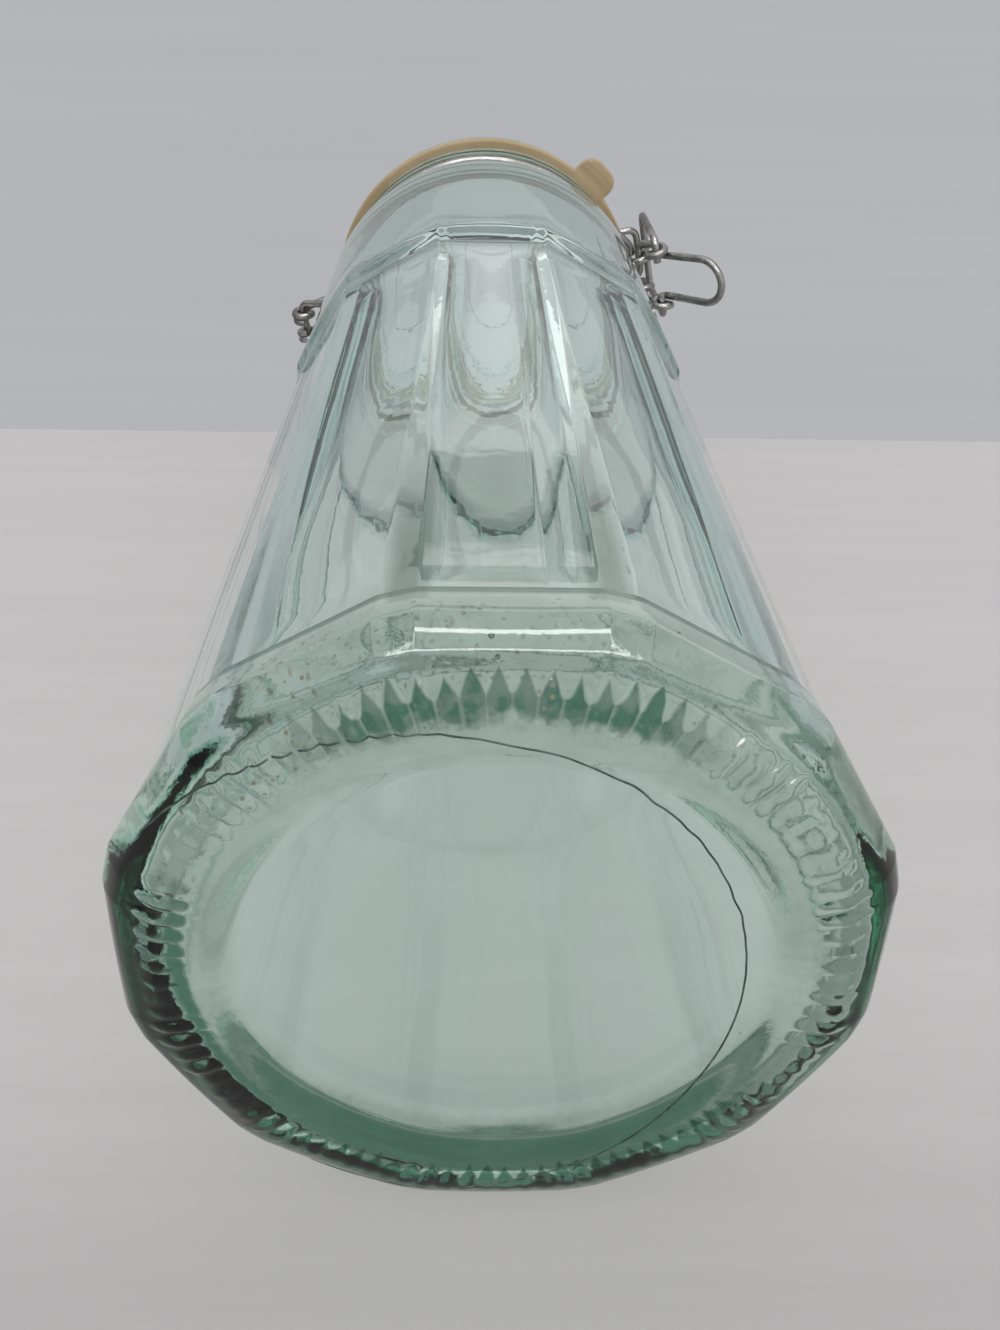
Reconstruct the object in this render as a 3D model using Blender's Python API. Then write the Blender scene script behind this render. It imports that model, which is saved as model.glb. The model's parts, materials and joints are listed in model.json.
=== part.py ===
"""A tall glass storage jar with twelve ground panels and a hinged, wire-bound glass lid.

The jar stands on its base: +Z runs from the base to the lid, the clasp is at the front (-Y) and
the hinge at the back. Lengths are in metres. The jar and its neck wire stay still, the lid turns on
the hinge with its gasket and its own wire, and the lever turns on the neck wire and carries the link.

Every place below is measured from the foot of the jar's own axis. That axis stands a little behind
the origin, which is under the middle of the whole object, because the finger loop reaches further
out in front than the hinge does behind.
"""

import math

import bmesh
import bpy
from mathutils import Matrix, Vector

MM = 0.001

# Body of the jar: its outside
SIDES = 12
PANEL_TURN = math.radians(3.5)
HEEL_APOTHEM = 58.0 * MM
HEEL_EDGE_RADIUS = 9.0 * MM
HEEL_HEIGHT = 17.0 * MM
HEEL_DRAW = 1.2 * MM
HEEL_STEP = 1.0 * MM
PANEL_HEIGHT = 167.0 * MM
PANEL_DRAW = 8.5 * MM
CORNER_STRIP = math.radians(2.5)
RUNOUT_HEIGHT = 12.0 * MM
RUNOUT_STEP = 1.6 * MM
RUNOUT_FLATNESS = 0.25
COLLAR_HEIGHT = 64.0 * MM
COLLAR_DRAW = 2.6 * MM
COLLAR_EDGE_RADIUS = 2.4 * MM
NECK_DEPTH = 5.8 * MM
NECK_HEIGHT = 16.0 * MM
LIP_OVERHANG = 2.5 * MM
LIP_HEIGHT = 7.5 * MM
LIP_EDGE = 0.9 * MM

# Body of the jar: its inside and its base
WALL = 3.6 * MM
FLOOR_THICKNESS = 6.0 * MM
FLOOR_EDGE_RADIUS = 6.0 * MM
NECK_WALL = 3.9 * MM
THROAT_HEIGHT = 14.0 * MM
BEARING_WIDTH = 4.0 * MM
BEARING_FLATNESS = 0.35
PUSH_UP_RADIUS = 42.0 * MM
PUSH_UP_STEP = 1.4 * MM
PUSH_UP_HEIGHT = 3.5 * MM

# Lid and gasket
LID_PLUG_GAP = 0.8 * MM
LID_PLUG_DEPTH = 5.4 * MM
LID_PLUG_WALL = 4.2 * MM
LID_EDGE_OVERHANG = 0.5 * MM
LID_EDGE_HEIGHT = 7.2 * MM
LID_GROOVE_DEPTH = 2.2 * MM
LID_GROOVE_WIDTH = 2.8 * MM
LID_EDGE_ROUND = 1.0 * MM
LID_CROWN_HEIGHT = 4.6 * MM
LID_CROWN_FOOT = 36.0 * MM
LID_CROWN_TOP = 26.0 * MM
LID_HOLLOW_TOP = 20.0 * MM
LID_THICKNESS = 5.2 * MM
GASKET_THICKNESS = 3.0 * MM
GASKET_OVERHANG = 2.0 * MM
TAB_REACH = 6.5 * MM
TAB_WIDTH = 12.0 * MM
TAB_ANGLE = math.radians(-35.0)

# Wire closure
WIRE = 2.2 * MM
SEAT_GAP = 0.3 * MM
EYE_PITCH = 2.7 * MM
BEND = 2.6 * MM
BEND_ROOM = 1.3 * BEND
LEAST_BEND = math.radians(12.0)
NECK_EYE_OFFSET = 3.6 * MM
NECK_EYE_LEAD = 2.4 * MM
COLLAR_CLEARANCE = 0.8 * MM
ARM_GAP = 0.5 * MM
LINK_GAP = 0.6 * MM
LEVER_ANGLE = math.radians(45.0)
LEVER_LENGTH = 30.0 * MM
FINGER_LOOP_WIDTH = 13.2 * MM
LEVER_EYE_DISTANCE = 9.0 * MM
NOSE_WIDTH = 15.0 * MM
NOSE_REACH = 6.2 * MM
NOSE_RISE = 1.2 * MM
HINGE_REACH = 15.0 * MM
HINGE_DROP = 9.6 * MM
HINGE_EYE_OFFSET = 1.6 * MM
HINGE_EYE_TURNS = 1.35

# Fineness of the round pieces
RING_STEPS = 48
EYE_STEPS = 10
LOOP_STEPS = 5
BEND_STEPS = 3
HEEL_STEPS = 4
EDGE_STEPS = 3
FLOOR_STEPS = 4
RISE_STEPS = 3
TAB_STEPS = 4
STEPS_ON_A_PANEL = 3
WIRE_RESOLUTION = 2
POLE = 0.15
SHARP_EDGE = math.radians(30.0)

# Levels of the jar, from the table up
Z_PANELS = HEEL_HEIGHT
Z_RUNOUT = Z_PANELS + PANEL_HEIGHT
Z_COLLAR = Z_RUNOUT + RUNOUT_HEIGHT
Z_NECK = Z_COLLAR + COLLAR_HEIGHT
Z_LIP = Z_NECK + NECK_HEIGHT
Z_RIM = Z_LIP + LIP_HEIGHT

# Radii that one piece takes from another
PANEL_FOOT = HEEL_APOTHEM - HEEL_DRAW - HEEL_STEP
PANEL_HEAD = PANEL_FOOT - PANEL_DRAW
COLLAR_FOOT = PANEL_HEAD + RUNOUT_STEP
COLLAR_HEAD = COLLAR_FOOT - COLLAR_DRAW
NECK_RADIUS = COLLAR_HEAD - NECK_DEPTH
LIP_RADIUS = NECK_RADIUS + LIP_OVERHANG
MOUTH_RADIUS = NECK_RADIUS - NECK_WALL
PLUG_RADIUS = MOUTH_RADIUS - LID_PLUG_GAP
LID_RADIUS = LIP_RADIUS + LID_EDGE_OVERHANG
LID_GROOVE_RADIUS = LID_RADIUS - LID_GROOVE_DEPTH
GASKET_RADIUS = LIP_RADIUS + GASKET_OVERHANG

# Levels of the lid
Z_GASKET = Z_RIM + SEAT_GAP
Z_LID = Z_GASKET + GASKET_THICKNESS + SEAT_GAP
Z_LID_WIRE = Z_LID + LID_EDGE_HEIGHT / 2

# Places of the wires
EYE_RADIUS = WIRE + SEAT_GAP
NECK_WIRE_RADIUS = NECK_RADIUS + SEAT_GAP + WIRE / 2
Z_NECK_WIRE = Z_LIP - SEAT_GAP - WIRE / 2
LID_WIRE_RADIUS = LID_GROOVE_RADIUS + SEAT_GAP + WIRE / 2
LEVER_PIVOT = Vector((0, -(COLLAR_HEAD + COLLAR_CLEARANCE + WIRE / 2), Z_NECK_WIRE))
HINGE_AXIS = Vector((0, NECK_WIRE_RADIUS + HINGE_REACH, Z_LID_WIRE - HINGE_DROP))
NECK_EYE_OUTER = NECK_EYE_OFFSET + EYE_PITCH
ARM_X = NECK_EYE_OUTER + WIRE + ARM_GAP
LINK_X = ARM_X + WIRE + LINK_GAP
HINGE_EYE_OUTER = HINGE_EYE_OFFSET + EYE_PITCH
HINGE_LEG_X = HINGE_EYE_OUTER + WIRE + ARM_GAP

# The jar's axis, which stands behind the middle of the object's reach
FRONT_REACH = -LEVER_PIVOT.y + LEVER_LENGTH * math.sin(LEVER_ANGLE) + WIRE / 2
BACK_REACH = HINGE_AXIS.y + EYE_RADIUS + WIRE / 2
JAR_AXIS = Vector((0, (FRONT_REACH - BACK_REACH) / 2, 0))


def clear_scene():
    for thing in list(bpy.data.objects):
        bpy.data.objects.remove(thing, do_unlink=True)


def material(name, colour, roughness, metallic=0.0, transmission=0.0, ior=1.5):
    """A Principled material of one colour."""
    made = bpy.data.materials.new(name)
    made.use_nodes = True
    shader = made.node_tree.nodes["Principled BSDF"]
    shader.inputs["Base Color"].default_value = (*colour, 1.0)
    shader.inputs["Roughness"].default_value = roughness
    shader.inputs["Metallic"].default_value = metallic
    shader.inputs["Transmission Weight"].default_value = transmission
    shader.inputs["IOR"].default_value = ior
    made.diffuse_color = (*colour, 1.0)
    return made


def add_object(name, data, finish):
    thing = bpy.data.objects.new(name, data)
    thing.data.materials.append(finish)
    bpy.context.collection.objects.link(thing)
    return thing


def add_pivot(name, place, parent=None):
    """An empty on an axis, at a place that is measured from its parent."""
    pivot = bpy.data.objects.new(name, None)
    pivot.empty_display_size = 10 * MM
    bpy.context.collection.objects.link(pivot)
    pivot.location = place
    pivot.parent = parent
    return pivot


def hang_on(pivot, place, *things):
    """Parents pieces to the pivot, whose place is measured as theirs are, and leaves them there."""
    for thing in things:
        thing.data.transform(Matrix.Translation(-place))
        thing.parent = pivot


def skin(name, rings, finish, endless=False):
    """A closed body through rings of points, each ring with as many points as the next.

    An endless one joins its last ring to the first. Otherwise the first and last rings are filled.
    """
    body = bmesh.new()
    loops = [[body.verts.new(point) for point in ring] for ring in rings]
    following = loops[1:] + loops[:1] if endless else loops[1:]
    for lower, upper in zip(loops, following):
        for index, vertex in enumerate(lower):
            after = (index + 1) % len(lower)
            body.faces.new((vertex, lower[after], upper[after], upper[index]))
    if not endless:
        body.faces.new(reversed(loops[0]))
        body.faces.new(loops[-1])
    bmesh.ops.recalc_face_normals(body, faces=body.faces)
    mesh = bpy.data.meshes.new(name)
    body.to_mesh(mesh)
    body.free()
    thing = add_object(name, mesh, finish)
    mesh.shade_smooth()
    mesh.set_sharp_from_angle(angle=SHARP_EDGE)
    return thing


def arc(centre, radius, start, end, steps):
    """Points (distance from the axis, height) on an arc, angles in degrees from straight out."""
    places = []
    for step in range(steps + 1):
        angle = math.radians(start + (end - start) * step / steps)
        across = centre[0] + radius * math.cos(angle)
        places.append((across, centre[1] + radius * math.sin(angle)))
    return places


def rise(start, end):
    """Points (distance from the axis, height) on a smooth S between two places."""
    places = []
    for step in range(RISE_STEPS + 1):
        share = step / RISE_STEPS
        lift = math.sin(share * math.pi / 2) ** 2
        across = start[0] + (end[0] - start[0]) * share
        places.append((across, start[1] + (end[1] - start[1]) * lift))
    return places


def panel_angles():
    """Directions round the jar, and how far each is from the middle of its panel."""
    pitch = 2 * math.pi / SIDES
    cut = pitch / 2 - CORNER_STRIP
    offsets = [cut * (2 * step / STEPS_ON_A_PANEL - 1) for step in range(STEPS_ON_A_PANEL + 1)]
    offsets.append(pitch / 2)
    first = -math.pi / 2 - PANEL_TURN + pitch / 2
    return [(first + side * pitch + offset, offset) for side in range(SIDES) for offset in offsets]


def panel_ring(height, apothem, flatness):
    """A ring round the jar: round at flatness 0, and at 1 twelve flats with a strip left at each corner."""
    corner = 1 / math.cos(math.pi / SIDES - CORNER_STRIP)
    points = []
    for direction, offset in panel_angles():
        stretch = min(1 / math.cos(offset), corner)
        radius = apothem * (1 + flatness * (stretch - 1))
        points.append((radius * math.cos(direction), radius * math.sin(direction), height))
    return points


def collar_radius(height):
    """Radius of the round collar at a height."""
    return COLLAR_FOOT - COLLAR_DRAW * (height - Z_COLLAR) / COLLAR_HEIGHT


def base_rings():
    """The underside: a shallow push-up, the flat ring that the jar stands on, and the rounded heel."""
    bearing = HEEL_APOTHEM - HEEL_EDGE_RADIUS
    rings = []
    for share in (POLE, (1 + POLE) / 2, 1):
        dome = (PUSH_UP_HEIGHT - PUSH_UP_STEP) * (1 - share**2)
        rings.append((PUSH_UP_STEP + dome, PUSH_UP_RADIUS * share, 0))
    rings.append((0, bearing - BEARING_WIDTH, 0))
    heel = arc((bearing, HEEL_EDGE_RADIUS), HEEL_EDGE_RADIUS, -90, 0, HEEL_STEPS)
    for step, (radius, height) in enumerate(heel):
        flatness = BEARING_FLATNESS + (1 - BEARING_FLATNESS) * step / HEEL_STEPS
        rings.append((height, radius, flatness))
    return rings


def outer_rings():
    """Heel band, panels, run-out, collar, neck and lip, from the heel up."""
    centre = (COLLAR_HEAD - COLLAR_EDGE_RADIUS, Z_NECK - COLLAR_EDGE_RADIUS)
    edge = arc(centre, COLLAR_EDGE_RADIUS, 0, 90, EDGE_STEPS)
    rings = [
        (Z_PANELS - HEEL_STEP, HEEL_APOTHEM - HEEL_DRAW, 1),
        (Z_PANELS, PANEL_FOOT, 1),
        (Z_RUNOUT, PANEL_HEAD, 1),
        (Z_COLLAR, COLLAR_FOOT, RUNOUT_FLATNESS),
        (Z_COLLAR + RUNOUT_HEIGHT, collar_radius(Z_COLLAR + RUNOUT_HEIGHT), 0),
    ]
    rings += [(height, radius, 0) for radius, height in edge]
    rings += [
        (Z_NECK, NECK_RADIUS, 0),
        (Z_LIP, NECK_RADIUS, 0),
        (Z_LIP, LIP_RADIUS - LIP_EDGE, 0),
        (Z_LIP + LIP_EDGE, LIP_RADIUS, 0),
        (Z_RIM - LIP_EDGE, LIP_RADIUS, 0),
        (Z_RIM, LIP_RADIUS - LIP_EDGE, 0),
    ]
    return rings


def inner_rings():
    """The inside, from the mouth down to the floor."""
    throat = Z_NECK - THROAT_HEIGHT
    throat_radius = collar_radius(throat) - WALL
    floor_level = PUSH_UP_HEIGHT + FLOOR_THICKNESS
    centre = (PANEL_FOOT - WALL - FLOOR_EDGE_RADIUS, floor_level + FLOOR_EDGE_RADIUS)
    corner = arc(centre, FLOOR_EDGE_RADIUS, 0, -90, FLOOR_STEPS)
    rings = [(Z_RIM, MOUTH_RADIUS + LIP_EDGE, 0), (Z_RIM - LIP_EDGE, MOUTH_RADIUS, 0)]
    for step in range(EDGE_STEPS + 1):
        turn = math.pi / 2 * step / EDGE_STEPS
        radius = MOUTH_RADIUS + (throat_radius - MOUTH_RADIUS) * math.sin(turn)
        rings.append((Z_NECK - THROAT_HEIGHT * (1 - math.cos(turn)), radius, 0))
    rings.append((Z_COLLAR, (PANEL_HEAD + COLLAR_FOOT) / 2 - WALL, 0))
    rings.append((Z_RUNOUT, PANEL_HEAD - WALL, 0))
    rings += [(height, radius, 0) for radius, height in corner]
    rings.append((floor_level, PUSH_UP_RADIUS * POLE, 0))
    return rings


def make_jar(glass):
    rings = base_rings() + outer_rings() + inner_rings()
    return skin("glass_jar", [panel_ring(*ring) for ring in rings], glass)


def round_ring(radius, height):
    points = []
    for step in range(RING_STEPS):
        angle = 2 * math.pi * step / RING_STEPS
        points.append((radius * math.cos(angle), radius * math.sin(angle), height))
    return points


def make_lid(glass):
    """A pressed lid: a plug that centres it in the mouth, a grooved edge for the wire and a low crown."""
    top = Z_LID + LID_EDGE_HEIGHT
    groove_low = Z_LID_WIRE - LID_GROOVE_WIDTH / 2
    groove_high = Z_LID_WIRE + LID_GROOVE_WIDTH / 2
    crown = top + LID_CROWN_HEIGHT
    hollow = PLUG_RADIUS - LID_PLUG_WALL
    foot = Z_LID - LID_PLUG_DEPTH
    profile = [
        (LID_CROWN_TOP * POLE, crown - LID_THICKNESS),
        *rise((LID_HOLLOW_TOP, crown - LID_THICKNESS), (hollow, Z_LID)),
        (hollow, foot + LID_EDGE_ROUND),
        (hollow + LID_EDGE_ROUND, foot),
        (PLUG_RADIUS - LID_EDGE_ROUND, foot),
        (PLUG_RADIUS, foot + LID_EDGE_ROUND),
        (PLUG_RADIUS, Z_LID),
        (LID_RADIUS - LIP_EDGE, Z_LID),
        (LID_RADIUS, Z_LID + LIP_EDGE),
        (LID_RADIUS, groove_low),
        (LID_GROOVE_RADIUS, groove_low),
        (LID_GROOVE_RADIUS, groove_high),
        (LID_RADIUS, groove_high),
        (LID_RADIUS, top - LIP_EDGE),
        (LID_RADIUS - LIP_EDGE, top),
        *rise((LID_CROWN_FOOT, top), (LID_CROWN_TOP, crown)),
        (LID_CROWN_TOP * POLE, crown),
    ]
    return skin("glass_lid", [round_ring(*place) for place in profile], glass)


def gasket_outline():
    """Directions round the gasket with its outer radius in each, closer together along the pull tab."""
    middle = -math.pi / 2 + TAB_ANGLE
    half = TAB_WIDTH / 2 / GASKET_RADIUS
    outline = []
    for step in range(-TAB_STEPS, TAB_STEPS + 1):
        share = math.sin(math.pi / 2 * step / TAB_STEPS)
        outline.append((middle + half * share, GASKET_RADIUS + TAB_REACH * math.sqrt(1 - share**4)))
    rest = 2 * math.pi - 2 * half
    for step in range(1, RING_STEPS):
        outline.append((middle + half + rest * step / RING_STEPS, GASKET_RADIUS))
    return outline


def make_gasket(rubber):
    """A flat rubber ring round the lid's plug, with a pull tab that stands out past the lip."""
    inner = PLUG_RADIUS + SEAT_GAP
    low, high = Z_GASKET, Z_GASKET + GASKET_THICKNESS
    sections = []
    for angle, outer in gasket_outline():
        across = ((inner, low), (outer, low), (outer, high), (inner, high))
        sections.append([(r * math.cos(angle), r * math.sin(angle), z) for r, z in across])
    return skin("rubber_gasket", sections, rubber, endless=True)


def rounded_path(corners, bend=BEND):
    """The points of a bent wire: straight between corners, with each corner turned on a radius."""
    points = [corners[0]]
    for before, corner, after in zip(corners, corners[1:], corners[2:]):
        back, ahead = (before - corner).normalized(), (after - corner).normalized()
        turn = math.pi - back.angle(ahead)
        if turn < LEAST_BEND:
            points.append(corner)
            continue
        setback = bend * math.tan(turn / 2)
        centre = corner + (back + ahead).normalized() * (bend / math.cos(turn / 2))
        start, end = corner + back * setback - centre, corner + ahead * setback - centre
        for step in range(BEND_STEPS + 1):
            share = step / BEND_STEPS
            rise = math.sin(turn * (1 - share)) / math.sin(turn)
            fall = math.sin(turn * share) / math.sin(turn)
            points.append(centre + start * rise + end * fall)
    points.append(corners[-1])
    return points


def on_eye(centre, x, angle):
    """A point on a wire eye round an axis along X. The angle runs from +Y to +Z."""
    return Vector((x, centre.y + EYE_RADIUS * math.cos(angle), centre.z + EYE_RADIUS * math.sin(angle)))


def eye(centre, x_start, x_end, start, turns):
    """Points of a wire eye, which moves along its axis by a little over the wire's width each turn."""
    steps = round(EYE_STEPS * abs(turns))
    points = []
    for step in range(steps + 1):
        share = step / steps
        x = x_start + (x_end - x_start) * share
        points.append(on_eye(centre, x, start + 2 * math.pi * turns * share))
    return points


def circle_points(radius, height, start, end):
    """Points on a wire's circle, from one angle to another, measured from the front round by +X."""
    steps = max(2, math.ceil(abs(end - start) / (2 * math.pi / RING_STEPS)))
    points = []
    for step in range(steps + 1):
        angle = start + (end - start) * step / steps
        points.append(Vector((radius * math.sin(angle), -radius * math.cos(angle), height)))
    return points


def mirrored(points):
    """The same points on the other side of the jar, in reverse order."""
    return [Vector((-point.x, point.y, point.z)) for point in reversed(points)]


def wire(name, points, finish, closed=False):
    curve = bpy.data.curves.new(name, "CURVE")
    curve.dimensions = "3D"
    curve.bevel_depth = WIRE / 2
    curve.bevel_resolution = WIRE_RESOLUTION
    curve.use_fill_caps = not closed
    spline = curve.splines.new("POLY")
    spline.points.add(len(points) - 1)
    for place, point in zip(spline.points, points):
        place.co = (*point, 1.0)
    spline.use_cyclic_u = closed
    return add_object(name, curve, finish)


def make_neck_wire(steel):
    """One wire round the neck: an eye each side of the front for the lever, and the hinge pin behind."""
    bar_y = LEVER_PIVOT.y + EYE_RADIUS
    lead = Vector((NECK_EYE_OUTER + NECK_EYE_LEAD, bar_y, Z_NECK_WIRE))
    aside = math.atan2(lead.x, -lead.y) + math.acos(NECK_WIRE_RADIUS / lead.xy.length)
    leave = math.pi - math.asin(HINGE_LEG_X / NECK_WIRE_RADIUS) - BEND_ROOM / NECK_WIRE_RADIUS
    back = math.sqrt(NECK_WIRE_RADIUS**2 - HINGE_LEG_X**2)
    clear = LIP_RADIUS + WIRE
    front = eye(LEVER_PIVOT, NECK_EYE_OFFSET, NECK_EYE_OUTER, 0, -1)
    run = rounded_path(
        [
            front[-1],
            lead,
            *circle_points(NECK_WIRE_RADIUS, Z_NECK_WIRE, aside, leave),
            Vector((HINGE_LEG_X, back, Z_NECK_WIRE)),
            Vector((HINGE_LEG_X, clear, Z_NECK_WIRE)),
            Vector((HINGE_LEG_X, HINGE_AXIS.y, HINGE_AXIS.z)),
            HINGE_AXIS,
        ]
    )
    side = front + run[1:]
    return wire("neck_wire", side + mirrored(side)[1:], steel, closed=True)


def make_lid_wire(steel):
    """One wire round the lid: a nose in front for the link, and at the back an eye each side of the hinge."""
    half_nose = NOSE_WIDTH / 2
    root = math.sqrt(LID_WIRE_RADIUS**2 - half_nose**2)
    tip = LID_WIRE_RADIUS + NOSE_REACH
    room = BEND_ROOM / LID_WIRE_RADIUS
    enter = math.asin(half_nose / LID_WIRE_RADIUS) + room
    leave = math.pi - math.asin(HINGE_EYE_OUTER / LID_WIRE_RADIUS) - room
    back = math.sqrt(LID_WIRE_RADIUS**2 - HINGE_EYE_OUTER**2)
    clear = GASKET_RADIUS + WIRE
    drop = Z_LID_WIRE - HINGE_AXIS.z
    out = HINGE_AXIS.y - clear
    slope = math.atan2(drop, out) + math.asin(EYE_RADIUS / math.hypot(drop, out))
    start = math.pi / 2 - slope
    run = rounded_path(
        [
            Vector((0, -tip, Z_LID_WIRE + NOSE_RISE)),
            Vector((half_nose, -tip, Z_LID_WIRE + NOSE_RISE)),
            Vector((half_nose, -root, Z_LID_WIRE)),
            *circle_points(LID_WIRE_RADIUS, Z_LID_WIRE, enter, leave),
            Vector((HINGE_EYE_OUTER, back, Z_LID_WIRE)),
            Vector((HINGE_EYE_OUTER, clear, Z_LID_WIRE)),
            on_eye(HINGE_AXIS, HINGE_EYE_OUTER, start),
        ]
    )
    hook = eye(HINGE_AXIS, HINGE_EYE_OUTER, HINGE_EYE_OFFSET, start, -HINGE_EYE_TURNS)
    side = run + hook[1:]
    return wire("lid_wire", mirrored(side)[:-1] + side, steel)


def lever_frame():
    """Along the lever from its pivot to the finger loop, and from the lever towards the jar."""
    along = Vector((0, -math.sin(LEVER_ANGLE), -math.cos(LEVER_ANGLE)))
    inward = Vector((0, math.cos(LEVER_ANGLE), -math.sin(LEVER_ANGLE)))
    return along, inward


def link_pivot():
    along, inward = lever_frame()
    return LEVER_PIVOT + along * LEVER_EYE_DISTANCE + inward * EYE_RADIUS


def link_bar_place():
    """The middle of the link's crossbar: level with the nose of the lid wire and just outside it."""
    nose = LID_WIRE_RADIUS + NOSE_REACH + WIRE + SEAT_GAP
    return Vector((0, -nose, Z_LID_WIRE + NOSE_RISE))


def make_lever(steel):
    """One wire: a pin in each neck eye, an arm with an eye for the link, and the finger loop."""
    along, inward = lever_frame()
    aside = Vector((1, 0, 0))
    pin_end = NECK_EYE_OFFSET - WIRE / 2 - SEAT_GAP
    low_arm = ARM_X - EYE_PITCH
    half_loop = FINGER_LOOP_WIDTH / 2
    loop_centre = LEVER_PIVOT + along * (LEVER_LENGTH - half_loop)
    side = rounded_path(
        [
            LEVER_PIVOT + aside * pin_end,
            LEVER_PIVOT + aside * ARM_X,
            LEVER_PIVOT + aside * ARM_X + along * LEVER_EYE_DISTANCE,
        ]
    )[:-1]
    for step in range(EYE_STEPS + 1):
        share = step / EYE_STEPS
        turn = 2 * math.pi * share
        around = along * math.sin(turn) - inward * math.cos(turn)
        side.append(link_pivot() + around * EYE_RADIUS + aside * (ARM_X - EYE_PITCH * share))
    side.append(LEVER_PIVOT + along * (LEVER_EYE_DISTANCE + WIRE) + aside * low_arm)
    for step in range(LOOP_STEPS + 1):
        turn = math.pi / 2 * step / LOOP_STEPS
        place = aside * math.cos(turn) + along * math.sin(turn)
        side.append(loop_centre + place * half_loop)
    return wire("lever", side + mirrored(side)[1:], steel)


def make_link(steel):
    """One wire: its ends turn in the lever's eyes, and its crossbar catches the nose of the lid wire."""
    pin_end = ARM_X - EYE_PITCH - WIRE / 2 - SEAT_GAP
    low, high = link_pivot(), link_bar_place()
    side = rounded_path(
        [
            low + Vector((pin_end, 0, 0)),
            low + Vector((LINK_X, 0, 0)),
            high + Vector((LINK_X, 0, 0)),
            high,
        ]
    )
    return wire("link_bail", side + mirrored(side)[1:], steel)


def main():
    clear_scene()
    pale_glass = material("pale_green_glass", (0.55, 0.74, 0.66), 0.05, transmission=0.9, ior=1.52)
    lid_glass = material("lid_glass", (0.58, 0.76, 0.68), 0.05, transmission=0.9, ior=1.52)
    rubber = material("tan_rubber", (0.62, 0.40, 0.16), 0.6)
    steel = material("grey_steel_wire", (0.30, 0.29, 0.29), 0.4, metallic=1.0)
    jar_axis = add_pivot("jar_axis", JAR_AXIS)
    lid_hinge = add_pivot("lid_hinge_axis", HINGE_AXIS, jar_axis)
    lever_hinge = add_pivot("lever_axis", LEVER_PIVOT, jar_axis)
    link_hinge = add_pivot("link_axis", link_pivot() - LEVER_PIVOT, lever_hinge)
    hang_on(jar_axis, Vector(), make_jar(pale_glass), make_neck_wire(steel))
    hang_on(lid_hinge, HINGE_AXIS, make_lid(lid_glass), make_gasket(rubber), make_lid_wire(steel))
    hang_on(lever_hinge, LEVER_PIVOT, make_lever(steel))
    hang_on(link_hinge, link_pivot(), make_link(steel))


main()
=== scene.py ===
"""The looks of a tall glass storage jar with twelve flat panels, a hinged glass lid and a wire clasp.

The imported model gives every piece's place. Each visible piece is made again here with the shape that
the finished thing has: the jar with its ribbed heel, mould marks, bubbles and uneven inside, the pressed
lid, the rubber ring with its tab, and the bent wires. The jar stands along +Z, but it is looked at as it
lies on its side, from below its base. Lengths are in metres, and a direction round the jar is an angle
from +X towards +Y.
"""

import json
import math

import bpy
from mathutils import Matrix, Vector, noise


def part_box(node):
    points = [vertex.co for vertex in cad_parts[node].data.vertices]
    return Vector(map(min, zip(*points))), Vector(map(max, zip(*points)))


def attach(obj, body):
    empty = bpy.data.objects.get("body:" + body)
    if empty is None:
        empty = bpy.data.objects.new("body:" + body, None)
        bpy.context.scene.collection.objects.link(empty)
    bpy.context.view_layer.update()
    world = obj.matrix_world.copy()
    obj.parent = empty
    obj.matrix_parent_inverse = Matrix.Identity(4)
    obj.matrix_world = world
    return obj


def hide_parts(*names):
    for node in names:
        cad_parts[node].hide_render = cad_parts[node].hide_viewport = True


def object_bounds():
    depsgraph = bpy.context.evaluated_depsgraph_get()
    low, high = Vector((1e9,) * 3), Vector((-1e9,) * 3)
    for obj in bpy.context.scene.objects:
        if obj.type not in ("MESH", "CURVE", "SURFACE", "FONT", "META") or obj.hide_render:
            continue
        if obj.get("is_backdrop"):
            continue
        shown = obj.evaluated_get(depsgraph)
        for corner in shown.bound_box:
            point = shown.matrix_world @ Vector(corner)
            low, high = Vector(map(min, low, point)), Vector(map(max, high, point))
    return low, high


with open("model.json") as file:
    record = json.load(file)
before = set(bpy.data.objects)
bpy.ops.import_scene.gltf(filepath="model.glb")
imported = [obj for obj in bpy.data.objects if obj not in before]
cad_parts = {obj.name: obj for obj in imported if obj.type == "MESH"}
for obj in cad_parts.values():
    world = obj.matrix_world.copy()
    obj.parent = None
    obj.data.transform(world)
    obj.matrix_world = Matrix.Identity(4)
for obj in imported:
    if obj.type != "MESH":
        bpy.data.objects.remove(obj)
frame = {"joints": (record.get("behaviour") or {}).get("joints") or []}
CAD_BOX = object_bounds()

MM = 0.001
DEGREE = math.pi / 180

# The jar's axis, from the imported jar
JAR_LOW, JAR_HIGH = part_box("glass_jar")
AXIS = Vector(((JAR_LOW.x + JAR_HIGH.x) / 2, (JAR_LOW.y + JAR_HIGH.y) / 2, 0))

# Outside of the jar
SIDES = 12
PITCH = 2 * math.pi / SIDES
PANEL_TURN = 3.5 * DEGREE
FIRST_PANEL = -math.pi / 2 - PANEL_TURN + PITCH / 2
HEEL_APOTHEM = 58.0 * MM
HEEL_EDGE_RADIUS = 9.0 * MM
HEEL_HEIGHT = 17.0 * MM
HEEL_DRAW = 1.2 * MM
HEEL_STEP = 1.0 * MM
HEEL_STEP_FALL = 0.5 * MM
HEEL_STEP_ROUND = 0.08 * MM
PANEL_HEIGHT = 167.0 * MM
PANEL_DRAW = 8.5 * MM
CORNER_STRIP = 2.8 * DEGREE
STRIP_HEIGHT = 140.0 * MM
STRIP_END = 0.12
STRETCH_ROUND = 0.0005
RUNOUT_HEIGHT = 12.0 * MM
RUNOUT_STEP = 1.6 * MM
COLLAR_HEIGHT = 64.0 * MM
COLLAR_DRAW = 2.6 * MM
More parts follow.
